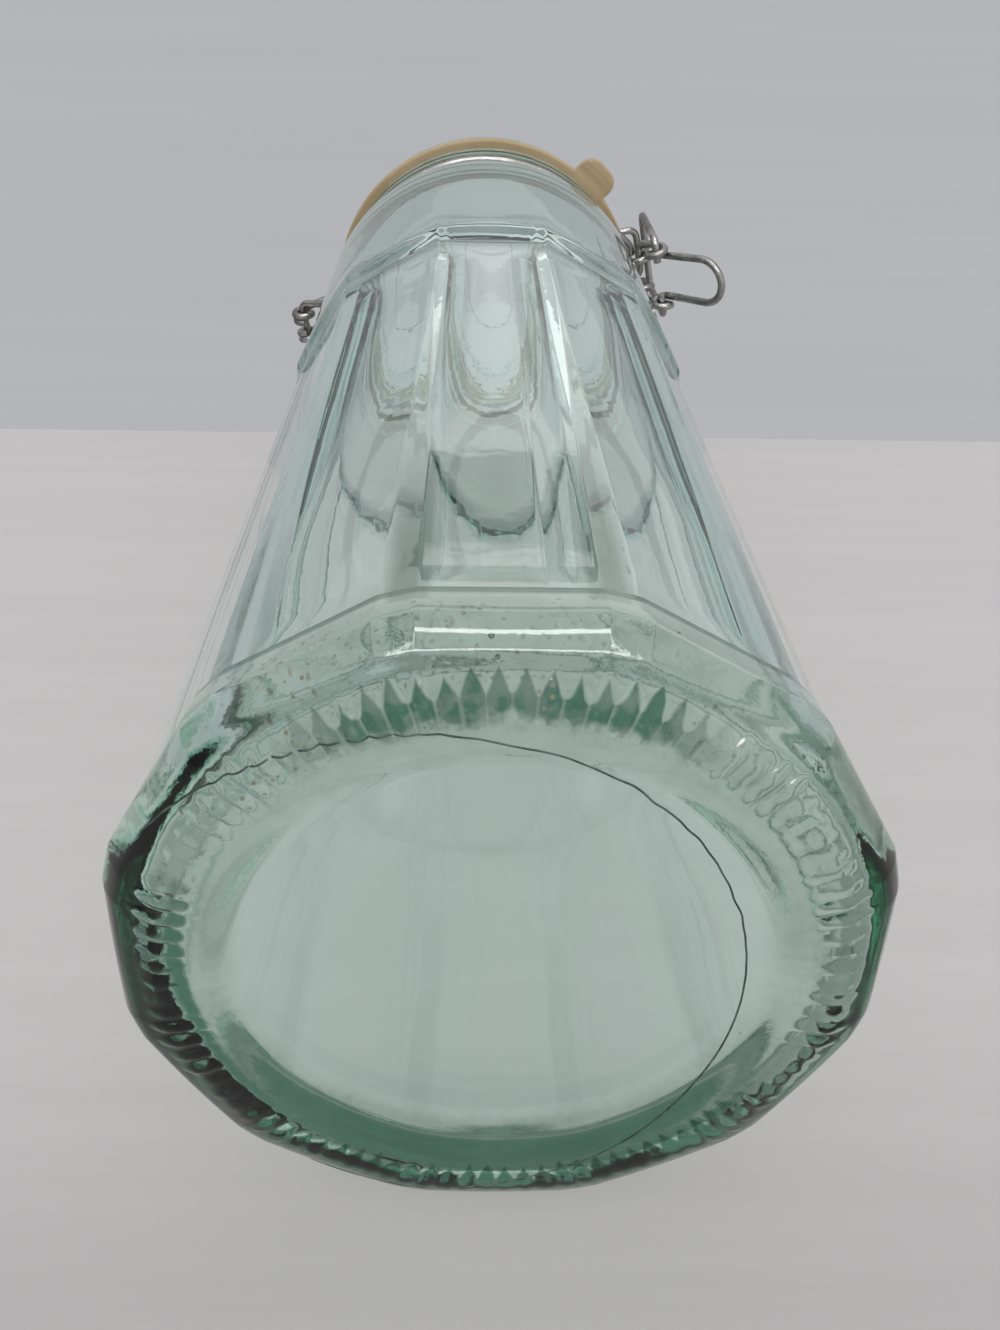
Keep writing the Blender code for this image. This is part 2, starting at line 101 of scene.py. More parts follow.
COLLAR_EDGE_RADIUS = 2.4 * MM
NECK_DEPTH = 5.8 * MM
NECK_HEIGHT = 16.0 * MM
NECK_FILLET = 1.2 * MM
LIP_OVERHANG = 2.5 * MM
LIP_EDGE = 0.9 * MM

# Base and inside of the jar
WALL = 3.6 * MM
FLOOR_THICKNESS = 6.0 * MM
FLOOR_EDGE_RADIUS = 6.0 * MM
TIGHT_EDGE_RADIUS = 3.0 * MM
TIGHT_EDGE_DIRECTION = -20 * DEGREE
INSIDE_SHIFT = 1.8 * MM
SHIFT_FADE = (20 * MM, 80 * MM)
NECK_WALL = 3.9 * MM
THROAT_HEIGHT = 14.0 * MM
BEARING_WIDTH = 4.0 * MM
BEARING_FLATNESS = 0.35
PUSH_UP_RADIUS = 38.0 * MM
PUSH_UP_STEP = 1.4 * MM
PUSH_UP_HEIGHT = 3.5 * MM

# Levels and radii of the jar that follow
Z_PANELS = HEEL_HEIGHT
Z_RUNOUT = Z_PANELS + PANEL_HEIGHT
Z_COLLAR = Z_RUNOUT + RUNOUT_HEIGHT
Z_NECK = Z_COLLAR + COLLAR_HEIGHT
Z_LIP = Z_NECK + NECK_HEIGHT
Z_RIM = JAR_HIGH.z
PANEL_FOOT = HEEL_APOTHEM - HEEL_DRAW - HEEL_STEP
PANEL_HEAD = PANEL_FOOT - PANEL_DRAW
COLLAR_FOOT = PANEL_HEAD + RUNOUT_STEP
COLLAR_HEAD = COLLAR_FOOT - COLLAR_DRAW
NECK_RADIUS = COLLAR_HEAD - NECK_DEPTH
LIP_RADIUS = NECK_RADIUS + LIP_OVERHANG
MOUTH_RADIUS = NECK_RADIUS - NECK_WALL
BEARING_RADIUS = HEEL_APOTHEM - HEEL_EDGE_RADIUS
FLOOR_LEVEL = PUSH_UP_HEIGHT + FLOOR_THICKNESS
RUNOUT_RISE = (Z_RUNOUT + 1 * MM, Z_COLLAR - 2 * MM)

# Ribs pressed round the heel
RIBS_ON_A_PANEL = 8
RIB_HEIGHT = 0.95 * MM
RIB_FOOT = 44.5 * MM
RIB_LENGTH = 9.8 * MM
RIB_LENGTH_SPREAD = 0.8 * MM
RIB_HALF_WIDTH = 0.47
RIB_LEAD = 3.5 * MM
RIB_ROUND_END = 3.4 * MM
RIB_WIDTH_SPREAD = 0.08
RIB_SINK_END = (RIB_LENGTH - 1 * MM, RIB_LENGTH + 3 * MM)
RIBBED_SHARE = 0.65

# How much of the ribs' height is there in each direction, in degrees
RIB_RELIEF = ((-180, 1.0), (-120, 0.85), (-50, 0.6), (-20, 0.3))
RIB_RELIEF += ((50, 0.3), (75, 0.5), (130, 0.7), (180, 1.0))

# The off-centre hairline that the mould left on the base, and the mould's seam up the side
SCAR_CENTRE = Vector((0.8, 12.0)) * MM
SCAR_RADIUS = 47.6 * MM
SCAR_THICKNESS = 0.17 * MM
SCAR_WAVE = 0.35 * MM
SCAR_WAVES = 14
SCAR_RAGGED = (1.2, 1.9)
SCAR_STEPS = 900
SCAR_REACH = 56.0 * MM
SCAR_START = 1.6
SEAM_ANGLE = 196.7 * DEGREE
SEAM_ANGLE_ON_HEEL = 193.4 * DEGREE
SEAM_WIDTH = 0.22 * MM
SEAM_HEIGHT = 0.09 * MM
SEAM_END = 120 * MM
SEAM_STEP = (3 * MM, 22 * MM)
SEAM_START = (40 * MM, 48 * MM)

# How uneven the blown inside and the pressed outside are
INSIDE_WAVE = 0.2 * MM
INSIDE_WAVE_LENGTH = 28 * MM
INSIDE_WAVE_END = (Z_NECK - 4 * MM, Z_NECK)
FLOOR_WAVE = 0.6 * MM
FLOOR_WAVE_LENGTH = 24 * MM
FLOOR_WAVE_HEIGHT = 5 * MM
OUTSIDE_WAVE = 0.05 * MM
OUTSIDE_WAVE_LENGTH = 16 * MM
OUTSIDE_WAVE_START = (Z_PANELS, Z_PANELS + 8 * MM)

# Fineness: directions from the middle of a panel in degrees, closest together where it meets its strips,
# and shares of a flat stretch's radius
COLUMNS = (-15, -14.7, -14.4, -14.05, -13.7, -13.35, -13.0, -12.65, -12.3, -12.05, -11.6, -8.6, -4.3, 0,
           4.3, 4.95, 5.2, 5.45, 8.6, 11.6, 12.05, 12.3, 12.65, 13.0, 13.35, 13.7, 14.05, 14.4, 14.7)
FINE = 3
FINE_FROM = 0.6
DOME_SHARES = (0.06, 0.12, 0.2, 0.3, 0.4, 0.5, 0.6, 0.7, 0.8, 0.9, 0.96, 1.0)
FLOOR_SHARES = (0.9, 0.8, 0.7, 0.6, 0.5, 0.4, 0.3, 0.2, 0.12, 0.06)


def smooth_step(low, high, value):
    """0 below low, 1 above high and a smooth S between."""
    share = min(max((value - low) / (high - low), 0), 1)
    return share * share * (3 - 2 * share)


def bell(distance, width):
    """1 at no distance, falling off smoothly on both sides."""
    return math.exp(-((distance / width) ** 2))


def column_angles(fine):
    """Directions round the jar, and how far each is from the middle of its panel."""
    edges = [degrees * DEGREE for degrees in COLUMNS] + [PITCH / 2]
    offsets = []
    parts = FINE if fine else 1
    for low, high in zip(edges, edges[1:]):
        offsets += [low + (high - low) * part / parts for part in range(parts)]
    return [(FIRST_PANEL + side * PITCH + offset, offset) for side in range(SIDES) for offset in offsets]


COARSE_COLUMNS = column_angles(False)
FINE_COLUMNS = column_angles(True)


def panel_stretch(offset, height):
    """How much further out than the middle of a panel the outline is, rounded where flat meets strip."""
    strip = CORNER_STRIP * (1 - smooth_step(0, 1, (height - Z_PANELS) / STRIP_HEIGHT) * (1 - STRIP_END))
    flat = 1 / math.cos(offset)
    corner = 1 / math.cos(PITCH / 2 - strip)
    blend = max(STRETCH_ROUND - abs(flat - corner), 0) / STRETCH_ROUND
    return min(flat, corner) - blend * blend * STRETCH_ROUND / 4


def line(start, end, steps):
    """Profile points after the start, up to the end."""
    return [
        tuple(low + (high - low) * step / steps for low, high in zip(start, end))
        for step in range(1, steps + 1)
    ]


def curve(start, end, steps):
    """Profile points after the start on a smooth S, level at both ends, up to the end."""
    places = []
    for step in range(1, steps + 1):
        share = step / steps
        lift = smooth_step(0, 1, share)
        places.append((start[0] + (end[0] - start[0]) * share, start[1] + (end[1] - start[1]) * lift))
    return places


def arc(centre, radius, start, end, steps):
    """Profile points (distance from the axis, height) on an arc, angles in degrees from straight out."""
    places = []
    for step in range(steps + 1):
        angle = (start + (end - start) * step / steps) * DEGREE
        across = centre[0] + radius * math.cos(angle)
        places.append((across, centre[1] + radius * math.sin(angle)))
    return places


def weave(rings):
    """Points and faces through rings from the base's middle to the floor's middle.

    A ring has one point, or as many as the next, or a multiple or a part of as many.
    """
    points, faces, starts = [], [], []
    for ring in rings:
        starts.append(len(points))
        points += ring
    for lower, upper, low, high in zip(rings, rings[1:], starts, starts[1:]):
        below, above = len(lower), len(upper)
        fewer = min(below, above)
        for index in range(fewer if fewer > 1 else max(below, above)):
            under = [low + (index * below // fewer + part) % below for part in range(below // fewer + 1)]
            over = [high + (index * above // fewer + part) % above for part in range(above // fewer + 1)]
            if below == 1:
                faces.append((low, high + (index + 1) % above, high + index))
            elif above == 1:
                faces.append((low + index, low + (index + 1) % below, high))
            else:
                faces.append(tuple(under + over[::-1]))
    return points, faces


def add_object(name, data, finish):
    thing = bpy.data.objects.new(name, data)
    thing.data.materials.append(finish)
    bpy.context.collection.objects.link(thing)
    return thing


def add_mesh(name, points, faces, finish, sharp=60 * DEGREE):
    mesh = bpy.data.meshes.new(name)
    mesh.from_pydata(points, [], faces)
    mesh.validate()
    mesh.shade_smooth()
    mesh.set_sharp_from_angle(angle=sharp)
    return add_object(name, mesh, finish)


def stand_in(thing, body, node):
    """The thing moves with a body and is seen in place of a node."""
    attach(thing, body)
    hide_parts(node)


def rib_height(angle, along):
    """Height of the heel's ribs. The distance along runs outwards from the ribs' inner ends."""
    pitch = PITCH / RIBS_ON_A_PANEL
    place = (angle - FIRST_PANEL + PITCH / 2) / pitch
    rib = math.floor(place)
    across = abs(place - rib - 0.5)
    own = noise.noise(Vector((rib * 3.7, 0.5, 0.5)))
    width = RIB_HALF_WIDTH * (1 + RIB_WIDTH_SPREAD * own)
    end = RIB_LENGTH + RIB_LENGTH_SPREAD * own
    past = max(along - (end - RIB_ROUND_END), 0) / RIB_ROUND_END
    reach = across / width
    inside = 1 - reach * reach - past
    if inside <= 0 or along < 0:
        return 0
    return RIB_HEIGHT * inside * smooth_step(0, RIB_LEAD, along)


def seam_height(angle, height):
    """The mould's seam, which steps aside on the heel, where another part of the mould begins."""
    turned = smooth_step(*SEAM_STEP, height)
    middle = SEAM_ANGLE_ON_HEEL + (SEAM_ANGLE - SEAM_ANGLE_ON_HEEL) * turned
    total = 0
    for turn in (0, math.pi):
        gap = math.remainder(angle - middle - turn, 2 * math.pi) * HEEL_APOTHEM
        total += bell(gap, SEAM_WIDTH)
    return SEAM_HEIGHT * total * (1 - smooth_step(SEAM_END / 2, SEAM_END, height))


def ring_point(angle, radius, height):
    return AXIS + Vector((radius * math.cos(angle), radius * math.sin(angle), height))


def lifted_point(angle, radius, height, normal, lift):
    return ring_point(angle, radius + normal.x * lift, height + normal.y * lift)


def round_profile():
    """Underside and rounded heel as (apothem, height, flatness, fine), from the middle outwards."""
    places = []
    for share in DOME_SHARES:
        places.append((PUSH_UP_RADIUS * share, dome_height(share), 0, False))
    foot = (BEARING_RADIUS - BEARING_WIDTH, 0)
    steps = 12
    for step, (radius, height) in enumerate(curve((PUSH_UP_RADIUS, PUSH_UP_STEP), foot, steps)):
        places.append((radius, height, 0, step > steps * FINE_FROM))
    for radius, height in line(foot, (BEARING_RADIUS, 0), 8)[:-1]:
        share = (radius - foot[0]) / BEARING_WIDTH
        places.append((radius, height, BEARING_FLATNESS * share, True))
    steps = 24
    heel_edge = arc((BEARING_RADIUS, HEEL_EDGE_RADIUS), HEEL_EDGE_RADIUS, -90, 0, steps)
    for step, (radius, height) in enumerate(heel_edge):
        flatness = BEARING_FLATNESS + (1 - BEARING_FLATNESS) * step / steps
        places.append((radius, height, flatness, step < steps * RIBBED_SHARE))
    return places


def dome_height(share):
    """Height of the push-up's vault at a share of its radius."""
    return PUSH_UP_STEP + (PUSH_UP_HEIGHT - PUSH_UP_STEP) * (1 - share**2)


def outward_normals(places):
    """For each (distance, height, …) on a profile, the direction out of the glass in the same plane."""
    normals = []
    for index, place in enumerate(places):
        before = places[max(index - 1, 0)]
        after = places[min(index + 1, len(places) - 1)]
        run = Vector((after[0] - before[0], after[1] - before[1])).normalized()
        normals.append(Vector((run.y, -run.x)))
    return normals


def base_rows():
    """The underside's profile, each place with its normal and its distance along the ribs."""
    places = round_profile()
    rows = []
    along = 0
    previous = places[0]
    for place, normal in zip(places, outward_normals(places)):
        along += math.hypot(place[0] - previous[0], place[1] - previous[1])
        if place[0] <= RIB_FOOT:
            along = place[0] - RIB_FOOT
        previous = place
        rows.append((*place, normal, along))
    return rows


def rib_relief(angle):
    """The share of the ribs' height in a direction: they are pressed deeper on one side."""
    degrees = math.remainder(angle, 2 * math.pi) / DEGREE
    for (low, before), (high, after) in zip(RIB_RELIEF, RIB_RELIEF[1:]):
        if degrees <= high:
            return before + (after - before) * (degrees - low) / (high - low)
    return 1


def base_point(row, angle, offset):
    """A point on the underside or the heel, with the ribs and the seam."""
    apothem, height, flatness, _, normal, along = row
    radius = apothem * (1 + flatness * (panel_stretch(offset, height) - 1))
    sunk = smooth_step(-RIB_LEAD, RIB_LEAD, along) * rib_relief(angle)
    sunk *= 1 - smooth_step(*RIB_SINK_END, along)
    lift = rib_height(angle, along) * sunk - RIB_HEIGHT * sunk
    lift += seam_height(angle, height) * smooth_step(*SEAM_START, radius)
    return lifted_point(angle, radius, height, normal, lift)


def base_rings():
    """Rings of points over the underside and the heel, with the ribs and the seam."""
    rings = [[AXIS + Vector((0, 0, dome_height(0)))]]
    for row in base_rows():
        columns = FINE_COLUMNS if row[3] else COARSE_COLUMNS
        rings.append([base_point(row, angle, offset) for angle, offset in columns])
    return rings


def scar_points():
    """The hairline that the mould left: an off-centre circle over the base, wavier at one side."""
    rows = base_rows()
    points = []
    for step in range(SCAR_STEPS):
        turn = 2 * math.pi * step / SCAR_STEPS + SCAR_START
        way = Vector((math.cos(turn), math.sin(turn)))
        ragged = smooth_step(*SCAR_RAGGED, abs(math.remainder(turn, 2 * math.pi)))
        wave = noise.noise((*(way * SCAR_WAVES), 3.0))
        flat = SCAR_CENTRE + way * (SCAR_RADIUS + SCAR_WAVE * ragged * wave)
        if flat.length > SCAR_REACH:
            continue
        angle = math.atan2(flat.y, flat.x)
        offset = math.remainder(angle - FIRST_PANEL, PITCH)
        inner = base_point(rows[0], angle, offset)
        for row in rows[1:]:
            outer = base_point(row, angle, offset)
            near, far = (inner - AXIS).xy.length, (outer - AXIS).xy.length
            if far >= flat.length:
                points.append(inner.lerp(outer, (flat.length - near) / (far - near)))
                break
            inner = outer
    return points


def make_scar(finish):
    """The hairline as a dark thread of painted shade, half sunk in the base, that the glass doesn't mirror
    or magnify.
    """
    points = [point - AXIS for point in scar_points()]
    thing = bend_wire("hairline_on_base", points, finish, SCAR_THICKNESS, 1)
    thing.visible_transmission = False
    thing.visible_glossy = False
    stand_in(thing, "jar", "glass_jar")


def collar_radius(height):
    return COLLAR_FOOT - COLLAR_DRAW * (height - Z_COLLAR) / COLLAR_HEIGHT


def outer_profile():
    """Heel band, panels, run-out, collar, neck and lip as (apothem, height, flatness)."""
    heel_top = (HEEL_APOTHEM - HEEL_DRAW, Z_PANELS - HEEL_STEP_FALL)
    band = line((HEEL_APOTHEM, HEEL_EDGE_RADIUS), heel_top, 3)
    step = [(PANEL_FOOT + HEEL_STEP_ROUND, heel_top[1] + HEEL_STEP_ROUND), (PANEL_FOOT, Z_PANELS)]
    panels = line((PANEL_FOOT, Z_PANELS), (PANEL_HEAD, Z_RUNOUT), 22)
    places = [(*place, 1) for place in band + step + panels]
    steps = 16
    top = Z_COLLAR + RUNOUT_HEIGHT
    for count in range(1, steps + 1):
        height = Z_RUNOUT + (top - Z_RUNOUT) * count / steps
        rise = smooth_step(*RUNOUT_RISE, height)
        apothem = PANEL_HEAD + (collar_radius(height) - PANEL_HEAD) * rise
        places.append((apothem, height, 1 - smooth_step(Z_RUNOUT, top, height)))
    edge_centre = (COLLAR_HEAD - COLLAR_EDGE_RADIUS, Z_NECK - COLLAR_EDGE_RADIUS)
    neck_centre = (NECK_RADIUS + NECK_FILLET, Z_NECK + NECK_FILLET)
    under_lip = (NECK_RADIUS + NECK_FILLET, Z_LIP - NECK_FILLET)
    lip_low = (LIP_RADIUS - LIP_EDGE, Z_LIP + LIP_EDGE)
    lip_high = (LIP_RADIUS - LIP_EDGE, Z_RIM - LIP_EDGE)
    round_places = line((collar_radius(top), top), (collar_radius(edge_centre[1]), edge_centre[1]), 8)[:-1]
    round_places += arc(edge_centre, COLLAR_EDGE_RADIUS, 0, 90, 8)
    round_places += arc(neck_centre, NECK_FILLET, 270, 180, 5)
    round_places += line(round_places[-1], (NECK_RADIUS, under_lip[1]), 4)[:-1]
    round_places += arc(under_lip, NECK_FILLET, 180, 90, 5)
    round_places += arc(lip_low, LIP_EDGE, -90, 0, 5)
    round_places += arc(lip_high, LIP_EDGE, 0, 90, 5)
    return places + [(*place, 0) for place in round_places]


def inner_profile(angle):
    """The inside in one direction, from the rim down to the floor, as (distance from the axis, height)."""
    aside = math.remainder(angle - TIGHT_EDGE_DIRECTION, 2 * math.pi)
    wider = (FLOOR_EDGE_RADIUS - TIGHT_EDGE_RADIUS) * smooth_step(0, math.pi, abs(aside))
    edge_radius = TIGHT_EDGE_RADIUS + wider
    throat = Z_NECK - THROAT_HEIGHT
    throat_radius = collar_radius(throat) - WALL
    centre = (PANEL_FOOT - WALL - edge_radius, FLOOR_LEVEL + edge_radius)
    places = arc((MOUTH_RADIUS + LIP_EDGE, Z_RIM - LIP_EDGE), LIP_EDGE, 90, 180, 5)
    places += line(places[-1], (MOUTH_RADIUS, Z_NECK), 4)
    steps = 10
    for step in range(1, steps + 1):
        turn = math.pi / 2 * step / steps
        radius = MOUTH_RADIUS + (throat_radius - MOUTH_RADIUS) * math.sin(turn)
        places.append((radius, Z_NECK - THROAT_HEIGHT * (1 - math.cos(turn))))
    collar_foot = ((PANEL_HEAD + COLLAR_FOOT) / 2 - WALL, Z_COLLAR)
    places += line((throat_radius, throat), collar_foot, 8)
    places += line(collar_foot, (PANEL_HEAD - WALL, Z_RUNOUT), 3)
    places += line(places[-1], (PANEL_FOOT - WALL, centre[1]), 16)[:-1]
    places += arc(centre, edge_radius, 0, -90, 14)
    shifted = []
    for radius, height in places:
        low = 1 - smooth_step(*SHIFT_FADE, height)
        shifted.append((radius + INSIDE_SHIFT * math.cos(aside) * low, height))
    floor_radius = shifted[-1][0]
    return shifted + [(floor_radius * share, FLOOR_LEVEL) for share in FLOOR_SHARES]


def bubble(centre, radius, points, faces):
    """Adds a small round hollow in the glass, whose skin faces into it."""
    rings, around = 7, 10
    start = len(points)
    points.append(centre + Vector((0, 0, -radius)))
    for ring in range(1, rings):
        polar = math.pi * ring / rings
        for step in range(around):
            turn = 2 * math.pi * step / around
            across = radius * math.sin(polar)
            offset = Vector((across * math.cos(turn), across * math.sin(turn), -radius * math.cos(polar)))
            points.append(centre + offset)
    points.append(centre + Vector((0, 0, radius)))
    end = len(points) - 1
    for step in range(around):
        after = (step + 1) % around
        faces.append((start, start + 1 + step, start + 1 + after))
        faces.append((end, end - around + after, end - around + step))
        for ring in range(rings - 2):
            low = start + 1 + ring * around
            faces.append((low + step, low + around + step, low + around + after, low + after))


# Bubbles in the glass: direction in degrees, then distance from the axis, height and radius in mm
BUBBLES = (
    (188.75, 56.1, 5.7, 0.42),
    (189.5, 54.4, 3.9, 0.34),
    (214.0, 54.6, 12.0, 0.3),
    (238.0, 53.8, 7.0, 0.36),
    (262.0, 54.0, 60.0, 0.3),
    (75.0, 52.4, 92.0, 0.34),
    (20.0, 50.2, 138.0, 0.3),
    (318.0, 55.0, 20.0, 0.38),
    (120.0, 46.4, 210.0, 0.3),
)


def floor_wave(place):
    """How much the floor's top is out of level, where the blown glass settled."""
    share = 1 - smooth_step(FLOOR_LEVEL, FLOOR_LEVEL + FLOOR_WAVE_HEIGHT, place.z)
    return FLOOR_WAVE * share * noise.noise(place / FLOOR_WAVE_LENGTH + Vector((9, 2, 7)))


def outside_rings():
    """Rings of points from the heel band up to the rim, slightly wavy above the heel."""
    rings = []
    outside = outer_profile()
    for (apothem, height, flatness), normal in zip(outside, outward_normals(outside)):
        ring = []
        for angle, offset in COARSE_COLUMNS:
            radius = apothem * (1 + flatness * (panel_stretch(offset, height) - 1))
            place = ring_point(angle, radius, height)
            wave = OUTSIDE_WAVE * noise.noise(place / OUTSIDE_WAVE_LENGTH)
            wave *= smooth_step(*OUTSIDE_WAVE_START, height)
            lift = wave + seam_height(angle, height)
            ring.append(lifted_point(angle, radius, height, normal, lift))
        rings.append(ring)
    return rings


def inside_rings():
    """Rings of points from the rim down to the floor, as wavy as blown glass."""
    rings = []
    profiles = [inner_profile(angle) for angle, _ in COARSE_COLUMNS]
    normals = [outward_normals(profile) for profile in profiles]
    for level in range(len(profiles[0])):
        ring = []
        for (angle, _), profile, facing in zip(COARSE_COLUMNS, profiles, normals):
            (radius, height), normal = profile[level], facing[level]
            place = ring_point(angle, radius, height)
            wave = INSIDE_WAVE * noise.noise(place / INSIDE_WAVE_LENGTH + Vector((5, 5, 5)))
            wave *= 1 - smooth_step(*INSIDE_WAVE_END, height)
            wave += floor_wave(place)
            ring.append(lifted_point(angle, radius, height, normal, wave))
        rings.append(ring)
    middle = AXIS + Vector((0, 0, FLOOR_LEVEL))
    return rings + [[middle + Vector((0, 0, floor_wave(middle)))]]


def make_jar(glass):
    points, faces = weave(base_rings() + outside_rings() + inside_rings())
    for degrees, radius, height, size in BUBBLES:
        bubble(ring_point(degrees * DEGREE, radius * MM, height * MM), size * MM, points, faces)
    jar = add_mesh("jar_of_glass", points, faces, glass, 40 * DEGREE)
    stand_in(jar, "jar", "glass_jar")


# Lid and gasket
LID_LOW, LID_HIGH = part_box("glass_lid")
RUBBER_LOW, RUBBER_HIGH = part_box("rubber_gasket")
SEAT_GAP = 0.3 * MM
Z_GASKET = RUBBER_LOW.z
GASKET_THICKNESS = RUBBER_HIGH.z - RUBBER_LOW.z
Z_LID = RUBBER_HIGH.z + SEAT_GAP
LID_PLUG_FOOT = LID_LOW.z
LID_CROWN = LID_HIGH.z
LID_PLUG_GAP = 0.8 * MM
LID_PLUG_WALL = 4.2 * MM
LID_EDGE_OVERHANG = 0.5 * MM
LID_EDGE_HEIGHT = 7.2 * MM
LID_GROOVE_DEPTH = 2.2 * MM
LID_GROOVE_WIDTH = 2.8 * MM
LID_EDGE_ROUND = 1.0 * MM
LID_CROWN_FOOT = 36.0 * MM
LID_CROWN_TOP = 26.0 * MM
LID_HOLLOW_TOP = 20.0 * MM
LID_THICKNESS = 5.2 * MM
LID_GROOVE_ROUND = 0.7 * MM
LID_GROOVE_EDGE = 0.5 * MM
LID_PLUG_FILLET = 0.5 * MM
LID_BEAD_RADIUS = 22.0 * MM
LID_BEAD_WIDTH = 2.0 * MM
LID_BEAD_HEIGHT = 0.8 * MM
LID_WAVE = 0.06 * MM
LID_WAVE_LENGTH = 9 * MM
LID_WAVE_FADE = (30 * MM, 33 * MM)
PLUG_RADIUS = MOUTH_RADIUS - LID_PLUG_GAP
LID_RADIUS = LIP_RADIUS + LID_EDGE_OVERHANG
LID_GROOVE_RADIUS = LID_RADIUS - LID_GROOVE_DEPTH
Z_LID_WIRE = Z_LID + LID_EDGE_HEIGHT / 2
LID_COLUMNS = 192
GASKET_OVERHANG = 2.0 * MM
GASKET_RADIUS = LIP_RADIUS + GASKET_OVERHANG
TAB_REACH = 6.5 * MM
TAB_WIDTH = 12.0 * MM
TAB_DIRECTION = -125 * DEGREE
TAB_SQUARENESS = 4
TAB_FULL_REACH = 0.985
TAB_FILLET = 0.1 * MM
TAB_FILLET_END = 1.35
TAB_ROOM = 1.02
TAB_THINNING = 0.35 * MM
TAB_THINNING_FADE = (GASKET_RADIUS - 0.5 * MM, GASKET_RADIUS + 1 * MM)
TAB_RIBS = (3.0 * MM, 4.6 * MM)
TAB_RIB_WIDTH = 0.5 * MM
TAB_RIB_HEIGHT = 0.25 * MM
TAB_STEPS = 40
RING_STEPS = 200
SEAL_RIBS = (39.0 * MM, 41.5 * MM)
SEAL_RIB_WIDTH = 0.7 * MM
SEAL_RIB_HEIGHT = 0.12 * MM
GASKET_CORNER = 0.5 * MM
GASKET_COLUMNS = 26


def lid_profile():
    """The lid from the middle of its underside, over its edge, to the middle of its top."""
    top = Z_LID + LID_EDGE_HEIGHT
    low, high = Z_LID_WIRE - LID_GROOVE_WIDTH / 2, Z_LID_WIRE + LID_GROOVE_WIDTH / 2
    hollow = PLUG_RADIUS - LID_PLUG_WALL
    ceiling = LID_CROWN - LID_THICKNESS
    edge = LIP_EDGE
    foot = LID_PLUG_FOOT + LID_EDGE_ROUND
    inner = LID_GROOVE_RADIUS + LID_GROOVE_ROUND
    outer = LID_RADIUS - LID_GROOVE_EDGE
    places = [(share * LID_HOLLOW_TOP, ceiling) for share in (0.1, 0.25, 0.4, 0.55, 0.7, 0.85, 1)]
    places += curve(places[-1], (hollow, Z_LID), 12)
    places += line(places[-1], (hollow, foot), 3)[:-1]
    places += arc((hollow + LID_EDGE_ROUND, foot), LID_EDGE_ROUND, 180, 270, 5)
    places += arc((PLUG_RADIUS - LID_EDGE_ROUND, foot), LID_EDGE_ROUND, -90, 0, 5)
    places += line(places[-1], (PLUG_RADIUS, Z_LID - LID_PLUG_FILLET), 3)
    bend = 0.3 * LID_PLUG_FILLET
    places += [(PLUG_RADIUS + bend, Z_LID - bend), (PLUG_RADIUS + LID_PLUG_FILLET, Z_LID)]
    places += line(places[-1], (LID_RADIUS - edge, Z_LID), 4)[:-1]
    places += arc((LID_RADIUS - edge, Z_LID + edge), edge, -90, 0, 5)
    places += arc((outer, low - LID_GROOVE_EDGE), LID_GROOVE_EDGE, 0, 90, 4)
    places += arc((inner, low + LID_GROOVE_ROUND), LID_GROOVE_ROUND, 270, 180, 4)
    places += arc((inner, high - LID_GROOVE_ROUND), LID_GROOVE_ROUND, 180, 90, 4)
    places += arc((outer, high + LID_GROOVE_EDGE), LID_GROOVE_EDGE, -90, 0, 4)
    places += arc((LID_RADIUS - edge, top - edge), edge, 0, 90, 5)
    places += line(places[-1], (LID_CROWN_FOOT, top), 4)
    places += curve(places[-1], (LID_CROWN_TOP, LID_CROWN), 12)
    sunk = LID_CROWN - LID_BEAD_HEIGHT
    places += curve((LID_BEAD_RADIUS + LID_BEAD_WIDTH, LID_CROWN), (LID_BEAD_RADIUS, sunk), 6)
    return places + [(LID_BEAD_RADIUS * share, sunk) for share in (0.85, 0.7, 0.55, 0.4, 0.25, 0.12)]


def make_lid(glass):
    columns = [2 * math.pi * step / LID_COLUMNS for step in range(LID_COLUMNS)]
    places = lid_profile()
    rings = [[AXIS + Vector((0, 0, places[0][1]))]]
    for (radius, height), normal in zip(places, outward_normals(places)):
        ring = []
        for angle in columns:
            place = ring_point(angle, radius, height)
            wave = LID_WAVE * noise.noise(place / LID_WAVE_LENGTH)
            wave *= 1 - smooth_step(*LID_WAVE_FADE, radius)
            ring.append(lifted_point(angle, radius, height, normal, wave))
        rings.append(ring)
    rings.append([AXIS + Vector((0, 0, places[-1][1]))])
    points, faces = weave(rings)
    lid = add_mesh("lid_of_glass", points, faces, glass)
    stand_in(lid, "lid", "glass_lid")


def gasket_reach(angle):
    """How far the rubber reaches in a direction, with the pull tab's rounded end."""
    half = TAB_WIDTH / 2 / GASKET_RADIUS
    share = abs(math.remainder(angle - TAB_DIRECTION, 2 * math.pi)) / half
    if share < 1:
        reach = TAB_REACH * (1 - share**TAB_SQUARENESS) ** 0.5 * TAB_FULL_REACH
        return GASKET_RADIUS + reach + TAB_FILLET
    return GASKET_RADIUS + TAB_FILLET * max((TAB_FILLET_END - share) / (TAB_FILLET_END - 1), 0)


def gasket_angles():
    """Directions round the gasket, closer together along the tab."""
    half = TAB_WIDTH / 2 / GASKET_RADIUS * TAB_ROOM
    angles = []
    for step in range(-TAB_STEPS, TAB_STEPS + 1):
        angles.append(TAB_DIRECTION + half * math.sin(math.pi / 2 * step / TAB_STEPS))
    rest = 2 * math.pi - 2 * half
    tab_end = angles[-1]
    for step in range(1, RING_STEPS):
        angles.append(tab_end + rest * step / RING_STEPS)
    return angles


